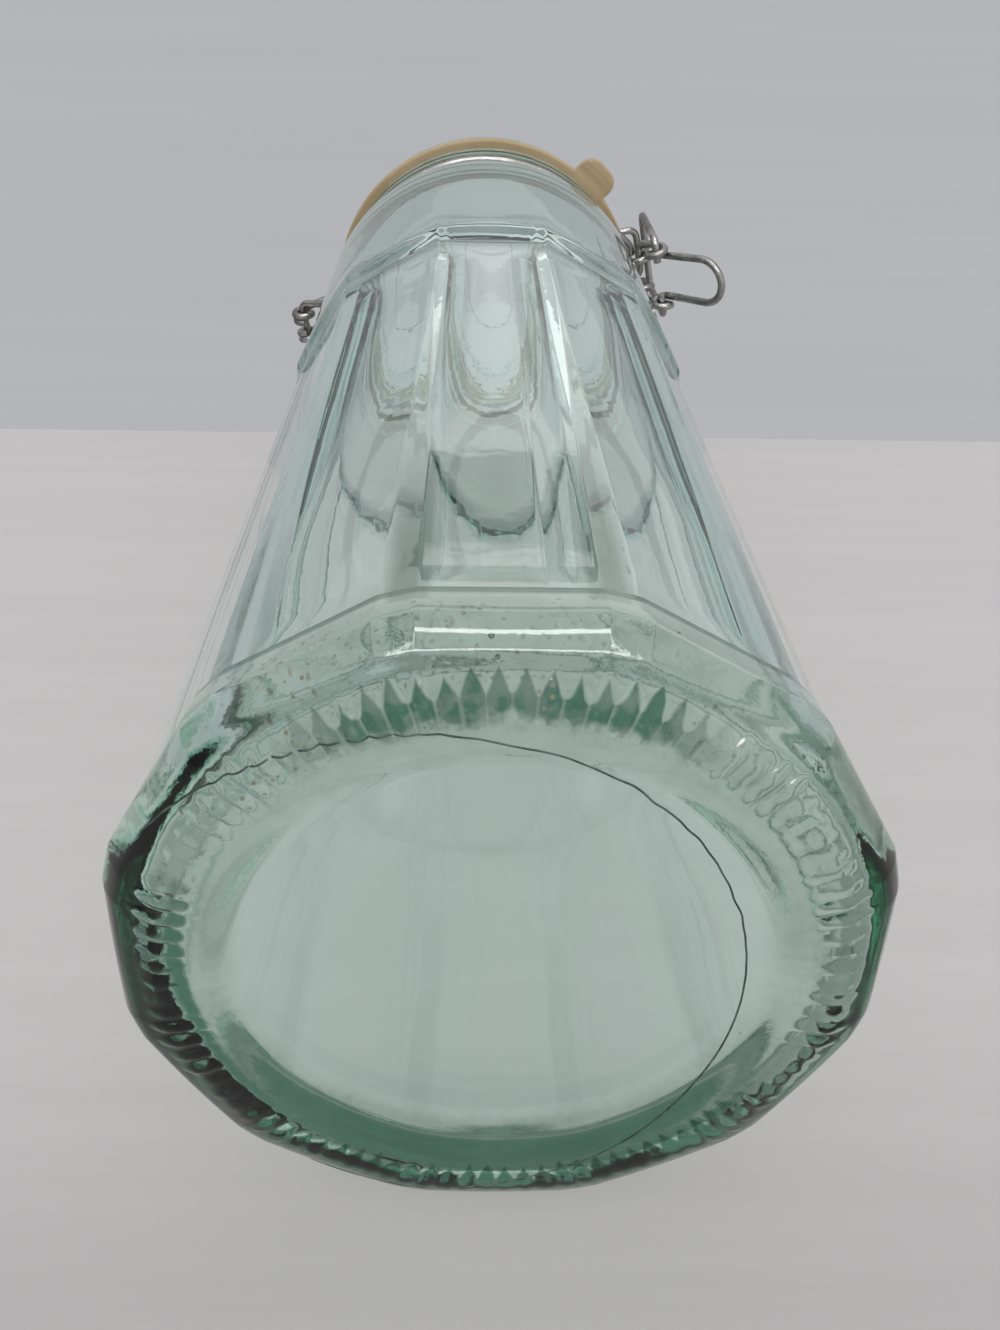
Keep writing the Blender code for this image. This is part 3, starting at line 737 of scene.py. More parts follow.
def gasket_half(radius, inner, reach):
    """Half the rubber's thickness: round at its edges, full on two sealing ribs and thinner on the tab."""
    edge = min(radius - inner, reach - radius)
    round_off = GASKET_CORNER - math.sqrt(max(GASKET_CORNER**2 - max(GASKET_CORNER - edge, 0) ** 2, 0))
    half = GASKET_THICKNESS / 2 - round_off
    half -= TAB_THINNING * smooth_step(*TAB_THINNING_FADE, radius)
    between = 1
    for rib in SEAL_RIBS:
        between *= 1 - bell(radius - rib, SEAL_RIB_WIDTH)
    half -= SEAL_RIB_HEIGHT * between
    for rib in TAB_RIBS:
        half += TAB_RIB_HEIGHT * bell(radius - GASKET_RADIUS - rib, TAB_RIB_WIDTH)
    return half


def make_gasket(rubber):
    """A flat ring with a pull tab, as sections that go out along its underside and back along its top."""
    inner = PLUG_RADIUS + SEAT_GAP
    middle = Z_GASKET + GASKET_THICKNESS / 2
    points, faces = [], []
    angles = gasket_angles()
    section = GASKET_COLUMNS * 2
    for angle in angles:
        reach = gasket_reach(angle)
        for step in range(section):
            upper = step >= GASKET_COLUMNS
            share = (step % GASKET_COLUMNS) / (GASKET_COLUMNS - 1)
            share = 1 - share if upper else share
            radius = inner + (reach - inner) * (0.5 - 0.5 * math.cos(math.pi * share))
            half = gasket_half(radius, inner, reach)
            points.append(ring_point(angle, radius, middle + half * (1 if upper else -1)))
    count = len(angles)
    for index in range(count):
        here, there = index * section, (index + 1) % count * section
        for step in range(section):
            after = (step + 1) % section
            faces.append((here + step, there + step, there + after, here + after))
    gasket = add_mesh("ring_of_rubber", points, faces, rubber)
    stand_in(gasket, "lid", "rubber_gasket")


# Bent wires
WIRE = 2.2 * MM
EYE_PITCH = 2.7 * MM
BEND = 2.6 * MM
BEND_ROOM = 1.3 * BEND
LEAST_BEND = 12 * DEGREE
NECK_EYE_OFFSET = 3.6 * MM
NECK_EYE_LEAD = 2.4 * MM
ARM_GAP = 0.5 * MM
LINK_GAP = 0.6 * MM
LEVER_ANGLE = 45 * DEGREE
LEVER_LENGTH = 30.0 * MM
FINGER_LOOP_WIDTH = 13.2 * MM
LEVER_EYE_DISTANCE = 9.0 * MM
NOSE_WIDTH = 15.0 * MM
NOSE_REACH = 6.2 * MM
NOSE_RISE = 1.2 * MM
HINGE_EYE_OFFSET = 1.6 * MM
HINGE_EYE_TURNS = 1.35
EYE_STEPS = 28
BEND_STEPS = 8
CIRCLE_STEPS = 160
LOOP_STEPS = 16
WIRE_RESOLUTION = 5
EYE_RADIUS = WIRE + SEAT_GAP
NECK_WIRE_RADIUS = NECK_RADIUS + SEAT_GAP + WIRE / 2
LID_WIRE_RADIUS = LID_GROOVE_RADIUS + SEAT_GAP + WIRE / 2
NECK_EYE_OUTER = NECK_EYE_OFFSET + EYE_PITCH
ARM_X = NECK_EYE_OUTER + WIRE + ARM_GAP
LINK_X = ARM_X + WIRE + LINK_GAP
HINGE_EYE_OUTER = HINGE_EYE_OFFSET + EYE_PITCH
HINGE_LEG_X = HINGE_EYE_OUTER + WIRE + ARM_GAP
JOINT_PLACE = {joint["name"]: Vector(joint["pos_m"]) - AXIS for joint in frame["joints"]}
HINGE_AXIS = JOINT_PLACE["lid_hinge"]
LEVER_PIVOT = JOINT_PLACE["lever_hinge"]
LINK_PIVOT = JOINT_PLACE["link_hinge"]
Z_NECK_WIRE = LEVER_PIVOT.z


def rounded_path(*corners):
    """The points of a bent wire: straight between corners, with each corner turned on a radius."""
    points = [corners[0]]
    for before, corner, after in zip(corners, corners[1:], corners[2:]):
        back, ahead = (before - corner).normalized(), (after - corner).normalized()
        turn = math.pi - back.angle(ahead)
        if turn < LEAST_BEND:
            points.append(corner)
            continue
        setback = BEND * math.tan(turn / 2)
        centre = corner + (back + ahead).normalized() * (BEND / math.cos(turn / 2))
        start, end = corner + back * setback - centre, corner + ahead * setback - centre
        for step in range(BEND_STEPS + 1):
            share = step / BEND_STEPS
            rise = math.sin(turn * (1 - share)) / math.sin(turn)
            fall = math.sin(turn * share) / math.sin(turn)
            points.append(centre + start * rise + end * fall)
    points.append(corners[-1])
    return points


def on_eye(centre, x, angle):
    """A point on a wire eye round an axis along X. The angle runs from +Y to +Z."""
    return Vector((x, centre.y + EYE_RADIUS * math.cos(angle), centre.z + EYE_RADIUS * math.sin(angle)))


def eye(centre, x_start, x_end, start, turns):
    """Points of a wire eye, which moves along its axis by a little over the wire's width each turn."""
    steps = round(EYE_STEPS * abs(turns))
    points = []
    for step in range(steps + 1):
        share = step / steps
        x = x_start + (x_end - x_start) * share
        points.append(on_eye(centre, x, start + 2 * math.pi * turns * share))
    return points


def circle_points(radius, height, start, end):
    """Points on a wire's circle, from one angle to another, measured from the front round by +X."""
    steps = max(2, math.ceil(abs(end - start) / (2 * math.pi / CIRCLE_STEPS)))
    points = []
    for step in range(steps + 1):
        angle = start + (end - start) * step / steps
        points.append(Vector((radius * math.sin(angle), -radius * math.cos(angle), height)))
    return points


def mirrored(points):
    """The same points on the other side of the jar, in reverse order."""
    return [Vector((-point.x, point.y, point.z)) for point in reversed(points)]


def bend_wire(name, points, finish, thickness, resolution, closed=False):
    """A round wire along points that are measured from the jar's axis."""
    path = bpy.data.curves.new(name, "CURVE")
    path.dimensions = "3D"
    path.bevel_depth = thickness
    path.bevel_resolution = resolution
    path.use_fill_caps = not closed
    spline = path.splines.new("POLY")
    spline.points.add(len(points) - 1)
    for place, point in zip(spline.points, points):
        place.co = (*(point + AXIS), 1.0)
    spline.use_cyclic_u = closed
    return add_object(name, path, finish)


def wire(name, node, body, points, finish, closed=False):
    """A bent wire that rides on a body in place of a node."""
    thing = bend_wire(name, points, finish, WIRE / 2, WIRE_RESOLUTION, closed)
    stand_in(thing, body, node)


def make_neck_wire(steel):
    """One wire round the neck: an eye each side of the front for the lever, and the hinge pin behind."""
    bar_y = LEVER_PIVOT.y + EYE_RADIUS
    lead = Vector((NECK_EYE_OUTER + NECK_EYE_LEAD, bar_y, Z_NECK_WIRE))
    aside = math.atan2(lead.x, -lead.y) + math.acos(NECK_WIRE_RADIUS / lead.xy.length)
    leave = math.pi - math.asin(HINGE_LEG_X / NECK_WIRE_RADIUS) - BEND_ROOM / NECK_WIRE_RADIUS
    back = math.sqrt(NECK_WIRE_RADIUS**2 - HINGE_LEG_X**2)
    clear = LIP_RADIUS + WIRE
    front = eye(LEVER_PIVOT, NECK_EYE_OFFSET, NECK_EYE_OUTER, 0, -1)
    run = rounded_path(
        front[-1],
        lead,
        *circle_points(NECK_WIRE_RADIUS, Z_NECK_WIRE, aside, leave),
        Vector((HINGE_LEG_X, back, Z_NECK_WIRE)),
        Vector((HINGE_LEG_X, clear, Z_NECK_WIRE)),
        Vector((HINGE_LEG_X, HINGE_AXIS.y, HINGE_AXIS.z)),
        HINGE_AXIS,
    )
    side = front + run[1:]
    wire("wire_round_neck", "neck_wire", "jar", side + mirrored(side)[1:], steel, closed=True)


def make_lid_wire(steel):
    """One wire round the lid: a nose in front for the link, and behind an eye each side of the hinge."""
    half_nose = NOSE_WIDTH / 2
    root = math.sqrt(LID_WIRE_RADIUS**2 - half_nose**2)
    tip = LID_WIRE_RADIUS + NOSE_REACH
    room = BEND_ROOM / LID_WIRE_RADIUS
    enter = math.asin(half_nose / LID_WIRE_RADIUS) + room
    leave = math.pi - math.asin(HINGE_EYE_OUTER / LID_WIRE_RADIUS) - room
    back = math.sqrt(LID_WIRE_RADIUS**2 - HINGE_EYE_OUTER**2)
    clear = GASKET_RADIUS + WIRE
    drop = Z_LID_WIRE - HINGE_AXIS.z
    out = HINGE_AXIS.y - clear
    slope = math.atan2(drop, out) + math.asin(EYE_RADIUS / math.hypot(drop, out))
    start = math.pi / 2 - slope
    run = rounded_path(
        Vector((0, -tip, Z_LID_WIRE + NOSE_RISE)),
        Vector((half_nose, -tip, Z_LID_WIRE + NOSE_RISE)),
        Vector((half_nose, -root, Z_LID_WIRE)),
        *circle_points(LID_WIRE_RADIUS, Z_LID_WIRE, enter, leave),
        Vector((HINGE_EYE_OUTER, back, Z_LID_WIRE)),
        Vector((HINGE_EYE_OUTER, clear, Z_LID_WIRE)),
        on_eye(HINGE_AXIS, HINGE_EYE_OUTER, start),
    )
    hook = eye(HINGE_AXIS, HINGE_EYE_OUTER, HINGE_EYE_OFFSET, start, -HINGE_EYE_TURNS)
    side = run + hook[1:]
    wire("wire_round_lid", "lid_wire", "lid", mirrored(side)[:-1] + side, steel)


def make_lever(steel):
    """One wire: a pin in each neck eye, an arm with an eye for the link, and the finger loop."""
    along = Vector((0, -math.sin(LEVER_ANGLE), -math.cos(LEVER_ANGLE)))
    inward = Vector((0, math.cos(LEVER_ANGLE), -math.sin(LEVER_ANGLE)))
    aside = Vector((1, 0, 0))
    pin_end = NECK_EYE_OFFSET - WIRE / 2 - SEAT_GAP
    low_arm = ARM_X - EYE_PITCH
    half_loop = FINGER_LOOP_WIDTH / 2
    loop_centre = LEVER_PIVOT + along * (LEVER_LENGTH - half_loop)
    side = rounded_path(
        LEVER_PIVOT + aside * pin_end,
        LEVER_PIVOT + aside * ARM_X,
        LEVER_PIVOT + aside * ARM_X + along * LEVER_EYE_DISTANCE,
    )[:-1]
    for step in range(EYE_STEPS + 1):
        share = step / EYE_STEPS
        turn = 2 * math.pi * share
        around = along * math.sin(turn) - inward * math.cos(turn)
        side.append(LINK_PIVOT + around * EYE_RADIUS + aside * (ARM_X - EYE_PITCH * share))
    side.append(LEVER_PIVOT + along * (LEVER_EYE_DISTANCE + WIRE) + aside * low_arm)
    for step in range(LOOP_STEPS + 1):
        turn = math.pi / 2 * step / LOOP_STEPS
        place = aside * math.cos(turn) + along * math.sin(turn)
        side.append(loop_centre + place * half_loop)
    wire("finger_lever", "lever", "lever", side + mirrored(side)[1:], steel)


def make_link(steel):
    """One wire: its ends turn in the lever's eyes, and its crossbar catches the nose of the lid wire."""
    pin_end = ARM_X - EYE_PITCH - WIRE / 2 - SEAT_GAP
    high = Vector((0, -(LID_WIRE_RADIUS + NOSE_REACH + WIRE + SEAT_GAP), Z_LID_WIRE + NOSE_RISE))
    side = rounded_path(
        LINK_PIVOT + Vector((pin_end, 0, 0)),
        LINK_PIVOT + Vector((LINK_X, 0, 0)),
        high + Vector((LINK_X, 0, 0)),
        high,
    )
    wire("link_of_wire", "link_bail", "link", side + mirrored(side)[1:], steel)


class Nodes:
    """A tree of nodes, with short ways to add to it."""

    def __init__(self, tree, coordinates):
        self.nodes, self.links = tree.nodes, tree.links
        self.coordinates = coordinates

    def join(self, source, target):
        self.links.new(source, target)

    def node(self, kind, **values):
        made = self.nodes.new("ShaderNode" + kind)
        for name, value in values.items():
            made.inputs[name.replace("_", " ")].default_value = value
        return made

    def place(self):
        """A place in metres in the piece's own frame, or in the sky the direction that is looked in."""
        return self.node("TexCoord").outputs[self.coordinates]

    def noise(self, scale, detail=3.0, roughness=0.5, distortion=0.0, place=None):
        made = self.node("TexNoise", Scale=scale, Detail=detail, Roughness=roughness, Distortion=distortion)
        self.join(place or self.place(), made.inputs["Vector"])
        return made.outputs["Fac"]

    def spread(self, source, low, high, to_low=0.0, to_high=1.0):
        """A smooth S from one value to the other, while the source goes from low to high."""
        made = self.node("MapRange", From_Min=low, From_Max=high, To_Min=to_low, To_Max=to_high)
        made.interpolation_type = "SMOOTHSTEP"
        self.join(source, made.inputs["Value"])
        return made.outputs["Result"]

    def fade(self, source, low, high):
        """1 below low, 0 above high and a smooth S between."""
        return self.spread(source, low, high, 1.0, 0.0)

    def along(self, direction):
        """How far each place, or each direction in the sky, lies in one direction."""
        made = self.node("VectorMath")
        made.operation = "DOT_PRODUCT"
        made.inputs[1].default_value = direction
        self.join(self.place(), made.inputs[0])
        return made.outputs["Value"]

    def maths(self, operation, *values):
        """One value from one or two, or from more by the same operation again and again."""
        result = values[0]
        for value in values[1:] or (0.0,):
            made = self.node("Math")
            made.operation = operation
            for socket, source in zip(made.inputs, (result, value)):
                if isinstance(source, (int, float)):
                    socket.default_value = source
                else:
                    self.join(source, socket)
            result = made.outputs["Value"]
        return result

    def total(self, *terms):
        return self.maths("ADD", *terms)

    def product(self, *factors):
        return self.maths("MULTIPLY", *factors)

    def largest(self, *values):
        return self.maths("MAXIMUM", *values)


class Finish(Nodes):
    """A material round the Principled shader."""

    def __init__(self, name):
        self.made = bpy.data.materials.new(name)
        self.made.use_nodes = True
        super().__init__(self.made.node_tree, "Object")
        self.shader = self.nodes["Principled BSDF"]
        self.output = self.nodes["Material Output"]

    def set(self, **values):
        """Puts constants on the shader's sockets."""
        for name, value in values.items():
            self.shader.inputs[name.replace("_", " ")].default_value = value

    def drive(self, **sources):
        """Joins what changes from place to place to the shader's sockets."""
        for name, source in sources.items():
            self.join(source, self.shader.inputs[name.replace("_", " ")])

    def mix(self, share, first, second):
        made = self.nodes.new("ShaderNodeMix")
        made.data_type = "RGBA"
        self.join(share, made.inputs["Factor"])
        for name, value in (("A", first), ("B", second)):
            socket = [s for s in made.inputs if s.name == name and s.type == "RGBA"][0]
            if isinstance(value, tuple):
                socket.default_value = (*value, 1.0)
            else:
                self.join(value, socket)
        return [s for s in made.outputs if s.type == "RGBA"][0]

    def bump(self, height, strength, distance):
        made = self.node("Bump", Strength=strength, Distance=distance)
        self.join(height, made.inputs["Height"])
        self.drive(Normal=made.outputs["Normal"])


# Glass
GLASS_COLOUR = (0.935, 0.98, 0.965)
DIRT_COLOUR = (0.36, 0.27, 0.17)
# Partly grime on the glass, partly painted shade that darkens the heel
GRIME_AND_SHADE_COLOUR = (0.68, 0.75, 0.70)
# Painted shade: the dark green where light is trapped in the thick heel
PAINTED_SHADE_COLOUR = (0.02, 0.11, 0.065)
# Painted shade on the shoulder over the panels
SHOULDER_SHADE_COLOUR = (0.40, 0.46, 0.455)
COLLAR_COLOUR = (0.79, 0.84, 0.82)
ABSORBED = (0.0, 0.80, 0.54)
ABSORBED_PER_METRE = 10.0
GLASS_BUMP = 0.14
GLASS_BUMP_DISTANCE = 0.12 * MM
FROST_ROUGHNESS = 0.17
SAND_RELIEF = 1.6

# Where shade is painted on the jar's glass, and where it has grime, frost or dirt. A pair says
# where a fade starts and where it ends: heights (Z), distances from the jar's axis (R), or directions
# round it in radians (TURN). Direction 0 is near the side that the jar lies on, half pi is the
# photograph's left, and pi or minus pi is its top.
UNDERSIDE_Z = (7.0 * MM, 8.5 * MM)
RIM_Z = (13.5 * MM, 16.0 * MM)
RIM_R = (54.5 * MM, 55.5 * MM)
BAND_TURN = (0.2, 1.5)
BAND_R = (45.8 * MM, 48.6 * MM)
BAND_RAGGED = 5.0 * MM
BAND_TEETH = 3.2 * MM
BAND_OUT = 1.6 * MM
BAND_FADE = (0.0, 1.2 * MM)
BAND_RIGHT_TURN = (-0.95, -0.55)
BAND_LEFT_TURN = (1.75, 2.15)
EDGE_TURN = (-2.3, -1.9)
EDGE_R = (56.2 * MM, 57.2 * MM)
EDGE_SHARE = 0.7
PETAL_END_R = 50.2 * MM
PETAL_END_SPREAD = 6.0 * MM
PETAL_TAPER = 3.6 * MM
PETAL_WIDE_R = (48.5 * MM, 51.5 * MM)
PETAL_FOOT = 0.15
PETAL_OUTLINE = (0.75, 1.05)
PETAL_START_R = (45.5 * MM, 48.0 * MM)
PETAL_START_RAGGED = 8.0 * MM
PETAL_SIDE = (0.75, 1.0)
PETAL_SIDE_RAGGED = 0.5
PETAL_SIDE_SHARE = 0.7
PETAL_LEFT_TURN = (2.62, 2.95)
PETAL_RIGHT_TURN = (-2.55, -2.3)
FLANK_LEFT_Y = (53.0 * MM, 55.0 * MM)
FLANK_LEFT_SHARE = 0.8
FLANK_RIGHT_Y = (-57.0 * MM, -56.0 * MM)
FLANK_RIGHT_SHARE = 0.3
FLANK_Z = (14.0 * MM, 16.5 * MM)
FOOT_SIDE = (0.78, 0.88)
FOOT_SHARE = 0.6
FOOT_Z = (30.0 * MM, 85.0 * MM)
FOOT_X = (-10.0 * MM, 15.0 * MM)
FOOT_BELOW = 0.15
LEDGE_START_Z = (14.0 * MM, 15.2 * MM)
LEDGE_END_Z = (16.6 * MM, 17.2 * MM)
LEDGE_R = (55.3 * MM, 55.6 * MM)
LEDGE_SHARE = 0.9
HEEL_TOP_Z = (16.5 * MM, 17.5 * MM)
SHOULDER_START_Z = (Z_RUNOUT - 1 * MM, Z_RUNOUT + 3 * MM)
SHOULDER_END_Z = (Z_COLLAR - 3 * MM, Z_COLLAR + 2 * MM)
COLLAR_Z = (Z_COLLAR - 6 * MM, Z_COLLAR + 6 * MM)
FROST_START_R = (40.5 * MM, 43.5 * MM)
FROST_END_R = (50.0 * MM, 53.0 * MM)
FROST_Z = (6.0 * MM, 7.5 * MM)
SANDY_R = (38.5 * MM, 42.5 * MM)
SANDY_Z = (3.0 * MM, 8.0 * MM)
SANDY_HEEL = 0.3
DIRT_Z = (12.0 * MM, 17.0 * MM)
DIRT_R = (44.0 * MM, 48.0 * MM)
DIRT_X = (-25.0 * MM, 5.0 * MM)
DIRT_BELOW = 0.25


class Glass(Finish):
    """Pale green glass that darkens to teal in depth, a little worn and uneven."""

    def __init__(self, name):
        super().__init__(name)
        self.spot = self.place()
        self.set(IOR=1.52, Transmission_Weight=1.0)
        volume = self.node("VolumeAbsorption", Color=(*ABSORBED, 1.0), Density=ABSORBED_PER_METRE)
        self.join(volume.outputs["Volume"], self.output.inputs["Volume"])

    def patches(self, scale, detail, roughness, *spread):
        """Noise spread from one value to another."""
        return self.spread(self.noise(scale, detail, roughness, place=self.spot), *spread)

    def dress(self, frost=0.0, sand=0.0):
        """Joins up roughness and relief: what all the glass has, and what this piece has besides."""
        wear = self.spread(self.patches(420.0, 4.0, 0.6, 0.5, 0.72), 0, 1, 0.008, 0.05)
        self.drive(Roughness=self.total(wear, frost))
        relief = self.noise(150.0, 2.0, 0.45, 0.3, place=self.spot)
        self.bump(self.total(relief, sand), GLASS_BUMP, GLASS_BUMP_DISTANCE)


class JarGlass(Glass):
    """The jar's glass, with shares from 0 to 1 by place for where shade is painted, and for grime, frost
    and dirt.
    """

    def __init__(self, name):
        super().__init__(name)
        parts = self.node("SeparateXYZ")
        self.join(self.spot, parts.inputs["Vector"])
        self.x = self.total(parts.outputs["X"], -AXIS.x)
        self.y = self.total(parts.outputs["Y"], -AXIS.y)
        self.z = parts.outputs["Z"]
        squares = self.total(self.product(self.x, self.x), self.product(self.y, self.y))
        self.radius = self.maths("POWER", squares, 0.5)
        self.angle = self.maths("ARCTAN2", self.y, self.x)
        self.ragged = self.uneven(160.0, 3.0, 0.6)
        self.tooth = self.from_middle(PITCH / RIBS_ON_A_PANEL)

    def uneven(self, scale, detail, roughness):
        """Noise round 0."""
        return self.total(self.noise(scale, detail, roughness, place=self.spot), -0.5)

    def from_middle(self, pitch):
        """How far a direction is from its rib's or panel's middle: 0 there, 1 where the next begins."""
        count = self.product(self.total(self.angle, PITCH / 2 - FIRST_PANEL), 1 / pitch)
        across = self.total(self.maths("FRACT", count), -0.5)
        return self.maths("ABSOLUTE", self.product(across, 2.0))

    def band(self):
        """Painted shade, dark green from the left round the bottom, toothed between the ribs, and a thin
        edge at the right.
        """
        past = self.maths("SUBTRACT", self.radius, self.spread(self.angle, *BAND_TURN, *BAND_R))
        past = self.total(past, self.product(self.ragged, BAND_RAGGED), BAND_OUT)
        band = self.spread(self.total(past, self.product(self.tooth, -BAND_TEETH)), *BAND_FADE)
        band = self.product(band, self.spread(self.angle, *BAND_RIGHT_TURN))
        edge = self.spread(self.angle, *EDGE_TURN, 0.0, EDGE_SHARE)
        edge = self.product(edge, self.spread(self.radius, *EDGE_R))
        return self.product(self.largest(band, edge), self.fade(self.angle, *BAND_LEFT_TURN))

    def petals(self):
        """Painted shade on the ribs' outer ends at the photograph's top, as pointed green petals of uneven
        length.
        """
        end = self.total(self.radius, self.product(self.uneven(105.0, 1.0, 0.5), PETAL_END_SPREAD))
        past = self.maths("DIVIDE", self.largest(self.total(end, -PETAL_END_R), 0.0), PETAL_TAPER)
        wide = self.product(self.tooth, self.spread(self.radius, *PETAL_WIDE_R, PETAL_FOOT, 1.0))
        start = self.total(self.radius, self.product(self.ragged, PETAL_START_RAGGED))
        side = self.total(self.tooth, self.product(self.ragged, PETAL_SIDE_RAGGED))
        at_left = self.spread(self.angle, *PETAL_LEFT_TURN)
        at_right = self.fade(self.angle, *PETAL_RIGHT_TURN)
        return self.product(
            self.fade(self.total(wide, past), *PETAL_OUTLINE),
            self.spread(start, *PETAL_START_R),
            self.spread(side, *PETAL_SIDE, 1.0, PETAL_SIDE_SHARE),
            self.patches(330.0, 2.0, 0.5, 0.36, 0.56, 0.86, 1.0),
            self.total(at_left, at_right),
        )

    def painted_shade(self):
        """Painted shade: dark green where light runs a long way round inside the glass, on the heel's band
        and petals, the flanks, the strips' feet and the ledge at the heel's top.
        """
        rim = self.product(self.fade(self.z, *RIM_Z), self.spread(self.radius, *RIM_R))
        low = self.largest(self.fade(self.z, *UNDERSIDE_Z), rim)
        below = self.product(self.largest(self.band(), self.petals()), low)
        left = self.spread(self.y, *FLANK_LEFT_Y, 0.0, FLANK_LEFT_SHARE)
        right = self.spread(self.y, *FLANK_RIGHT_Y, FLANK_RIGHT_SHARE, 0.0)
        flanks = self.product(self.total(left, right), self.fade(self.z, *FLANK_Z))
        feet = self.product(
            self.spread(self.from_middle(PITCH), *FOOT_SIDE, 0.0, FOOT_SHARE),
            self.spread(self.z, *HEEL_TOP_Z),
            self.fade(self.z, *FOOT_Z),
            self.spread(self.x, *FOOT_X, 1.0, FOOT_BELOW),
        )
        ledge = self.product(
            self.spread(self.z, *LEDGE_START_Z),
            self.fade(self.z, *LEDGE_END_Z),
            self.spread(self.radius, *LEDGE_R),
            LEDGE_SHARE,
        )
        return self.largest(below, flanks, feet, ledge)

    def shoulder(self):
        """Painted shade on the shoulder over the panels, which turns too steeply to pass light from behind.
        """
        return self.product(self.spread(self.z, *SHOULDER_START_Z), self.fade(self.z, *SHOULDER_END_Z))

    def frosted(self):
        """Fine scratches and mould marks, which make the ring that the jar stands on a little matt."""
        return self.product(
            self.spread(self.radius, *FROST_START_R),
            self.fade(self.radius, *FROST_END_R),
            self.patches(1100.0, 3.0, 0.7, 0.42, 0.62),
            self.fade(self.z, *FROST_Z),
        )

    def sandy(self):
        """Where the mould's own surface shows: outside the middle of the base, up to the panels."""
        return self.product(
            self.spread(self.radius, *SANDY_R),
            self.spread(self.z, *SANDY_Z, 1.0, SANDY_HEEL),
            self.fade(self.z, *HEEL_TOP_Z),
        )

    def grime_and_shade(self):
        """A grey cloudiness outside the middle of the base, up to the panels: partly grime, partly painted
        shade that darkens the heel.
        """
        return self.product(
            self.patches(90.0, 4.0, 0.65, 0.3, 0.7, 0.35, 1.0),
            self.spread(self.radius, *SANDY_R),
            self.fade(self.z, *HEEL_TOP_Z),
        )

    def dirt(self):
        """Brown specks in patches on the heel, fewer on the side that the jar lies on."""
        grains = self.node("TexVoronoi", Scale=620.0)
        self.join(self.spot, grains.inputs["Vector"])
        return self.product(
            self.fade(grains.outputs["Distance"], 0.17, 0.26),
            self.fade(self.z, *DIRT_Z),
            self.spread(self.radius, *DIRT_R),
            self.spread(self.x, *DIRT_X, 1.0, DIRT_BELOW),
            self.patches(60.0, 3.0, 0.6, 0.42, 0.6),
        )


def make_lid_glass():
    glass = Glass("lid_glass")
    glass.set(Base_Color=(*GLASS_COLOUR, 1.0))
    glass.dress()
    return glass.made


def make_jar_glass():
    glass = JarGlass("jar_glass")
    painted_shade = glass.painted_shade()
    # Painted shade: dark green in the heel, a grey shoulder, and a grey cloud on the heel that is partly
    # grime and partly shade
    colour = glass.mix(painted_shade, GLASS_COLOUR, PAINTED_SHADE_COLOUR)
    colour = glass.mix(glass.spread(glass.z, *COLLAR_Z), colour, COLLAR_COLOUR)
    colour = glass.mix(glass.shoulder(), colour, SHOULDER_SHADE_COLOUR)
    colour = glass.mix(glass.grime_and_shade(), colour, glass.mix(painted_shade, GRIME_AND_SHADE_COLOUR, PAINTED_SHADE_COLOUR))
    glass.drive(Base_Color=glass.mix(glass.dirt(), colour, DIRT_COLOUR))
    sand = glass.noise(950.0, 3.0, 0.6, place=glass.spot)
    sand = glass.product(sand, glass.sandy(), SAND_RELIEF)
    glass.dress(glass.product(glass.frosted(), FROST_ROUGHNESS), sand)
    return glass.made


def make_hairline_shade():
    """Painted shade: the dark line that the hairline's groove makes in the glass, as an opaque dark finish.
    """
    dark = Finish("hairline_shade")
    dark.set(Roughness=0.25)
    shade = dark.spread(dark.noise(300.0, 3.0, 0.6), 0.35, 0.65)
    dark.drive(Base_Color=dark.mix(shade, (0.02, 0.05, 0.04), (0.10, 0.16, 0.14)))
    return dark.made


def make_rubber():
    """Tan natural rubber, matt, mottled and a little dusty."""
    rubber = Finish("natural_rubber")
    rubber.set(Specular_IOR_Level=0.35)
    place = rubber.place()
    broad = rubber.spread(rubber.noise(45.0, 4.0, 0.6, place=place), 0.35, 0.65)
    colour = rubber.mix(broad, (0.58, 0.42, 0.24), (0.66, 0.50, 0.31))
    dust = rubber.spread(rubber.noise(900.0, 3.0, 0.7, place=place), 0.55, 0.75, 0.0, 0.5)
    rubber.drive(Base_Color=rubber.mix(dust, colour, (0.74, 0.63, 0.48)))
    rubber.drive(Roughness=rubber.spread(broad, 0, 1, 0.55, 0.72))
    rubber.bump(rubber.noise(1500.0, 3.0, 0.6, place=place), 0.4, 0.08 * MM)
    return rubber.made


def make_steel():
    """Drawn steel wire gone dull and grey, browner in patches, with fine marks."""
    steel = Finish("tarnished_wire")
    steel.set(Metallic=1.0)
    place = steel.place()
    broad = steel.spread(steel.noise(110.0, 5.0, 0.65, place=place), 0.4, 0.62)
    colour = steel.mix(broad, (0.40, 0.39, 0.385), (0.24, 0.225, 0.215))
    rust = steel.spread(steel.noise(260.0, 4.0, 0.7, 0.4, place=place), 0.6, 0.74, 0.0, 0.75)
    steel.drive(Base_Color=steel.mix(rust, colour, (0.23, 0.13, 0.075)))
    rough = steel.total(steel.spread(broad, 0, 1, 0.26, 0.44), steel.product(rust, 0.3))
    steel.drive(Roughness=rough)
    steel.bump(steel.noise(1300.0, 4.0, 0.65, place=place), 0.5, 0.09 * MM)
    return steel.made


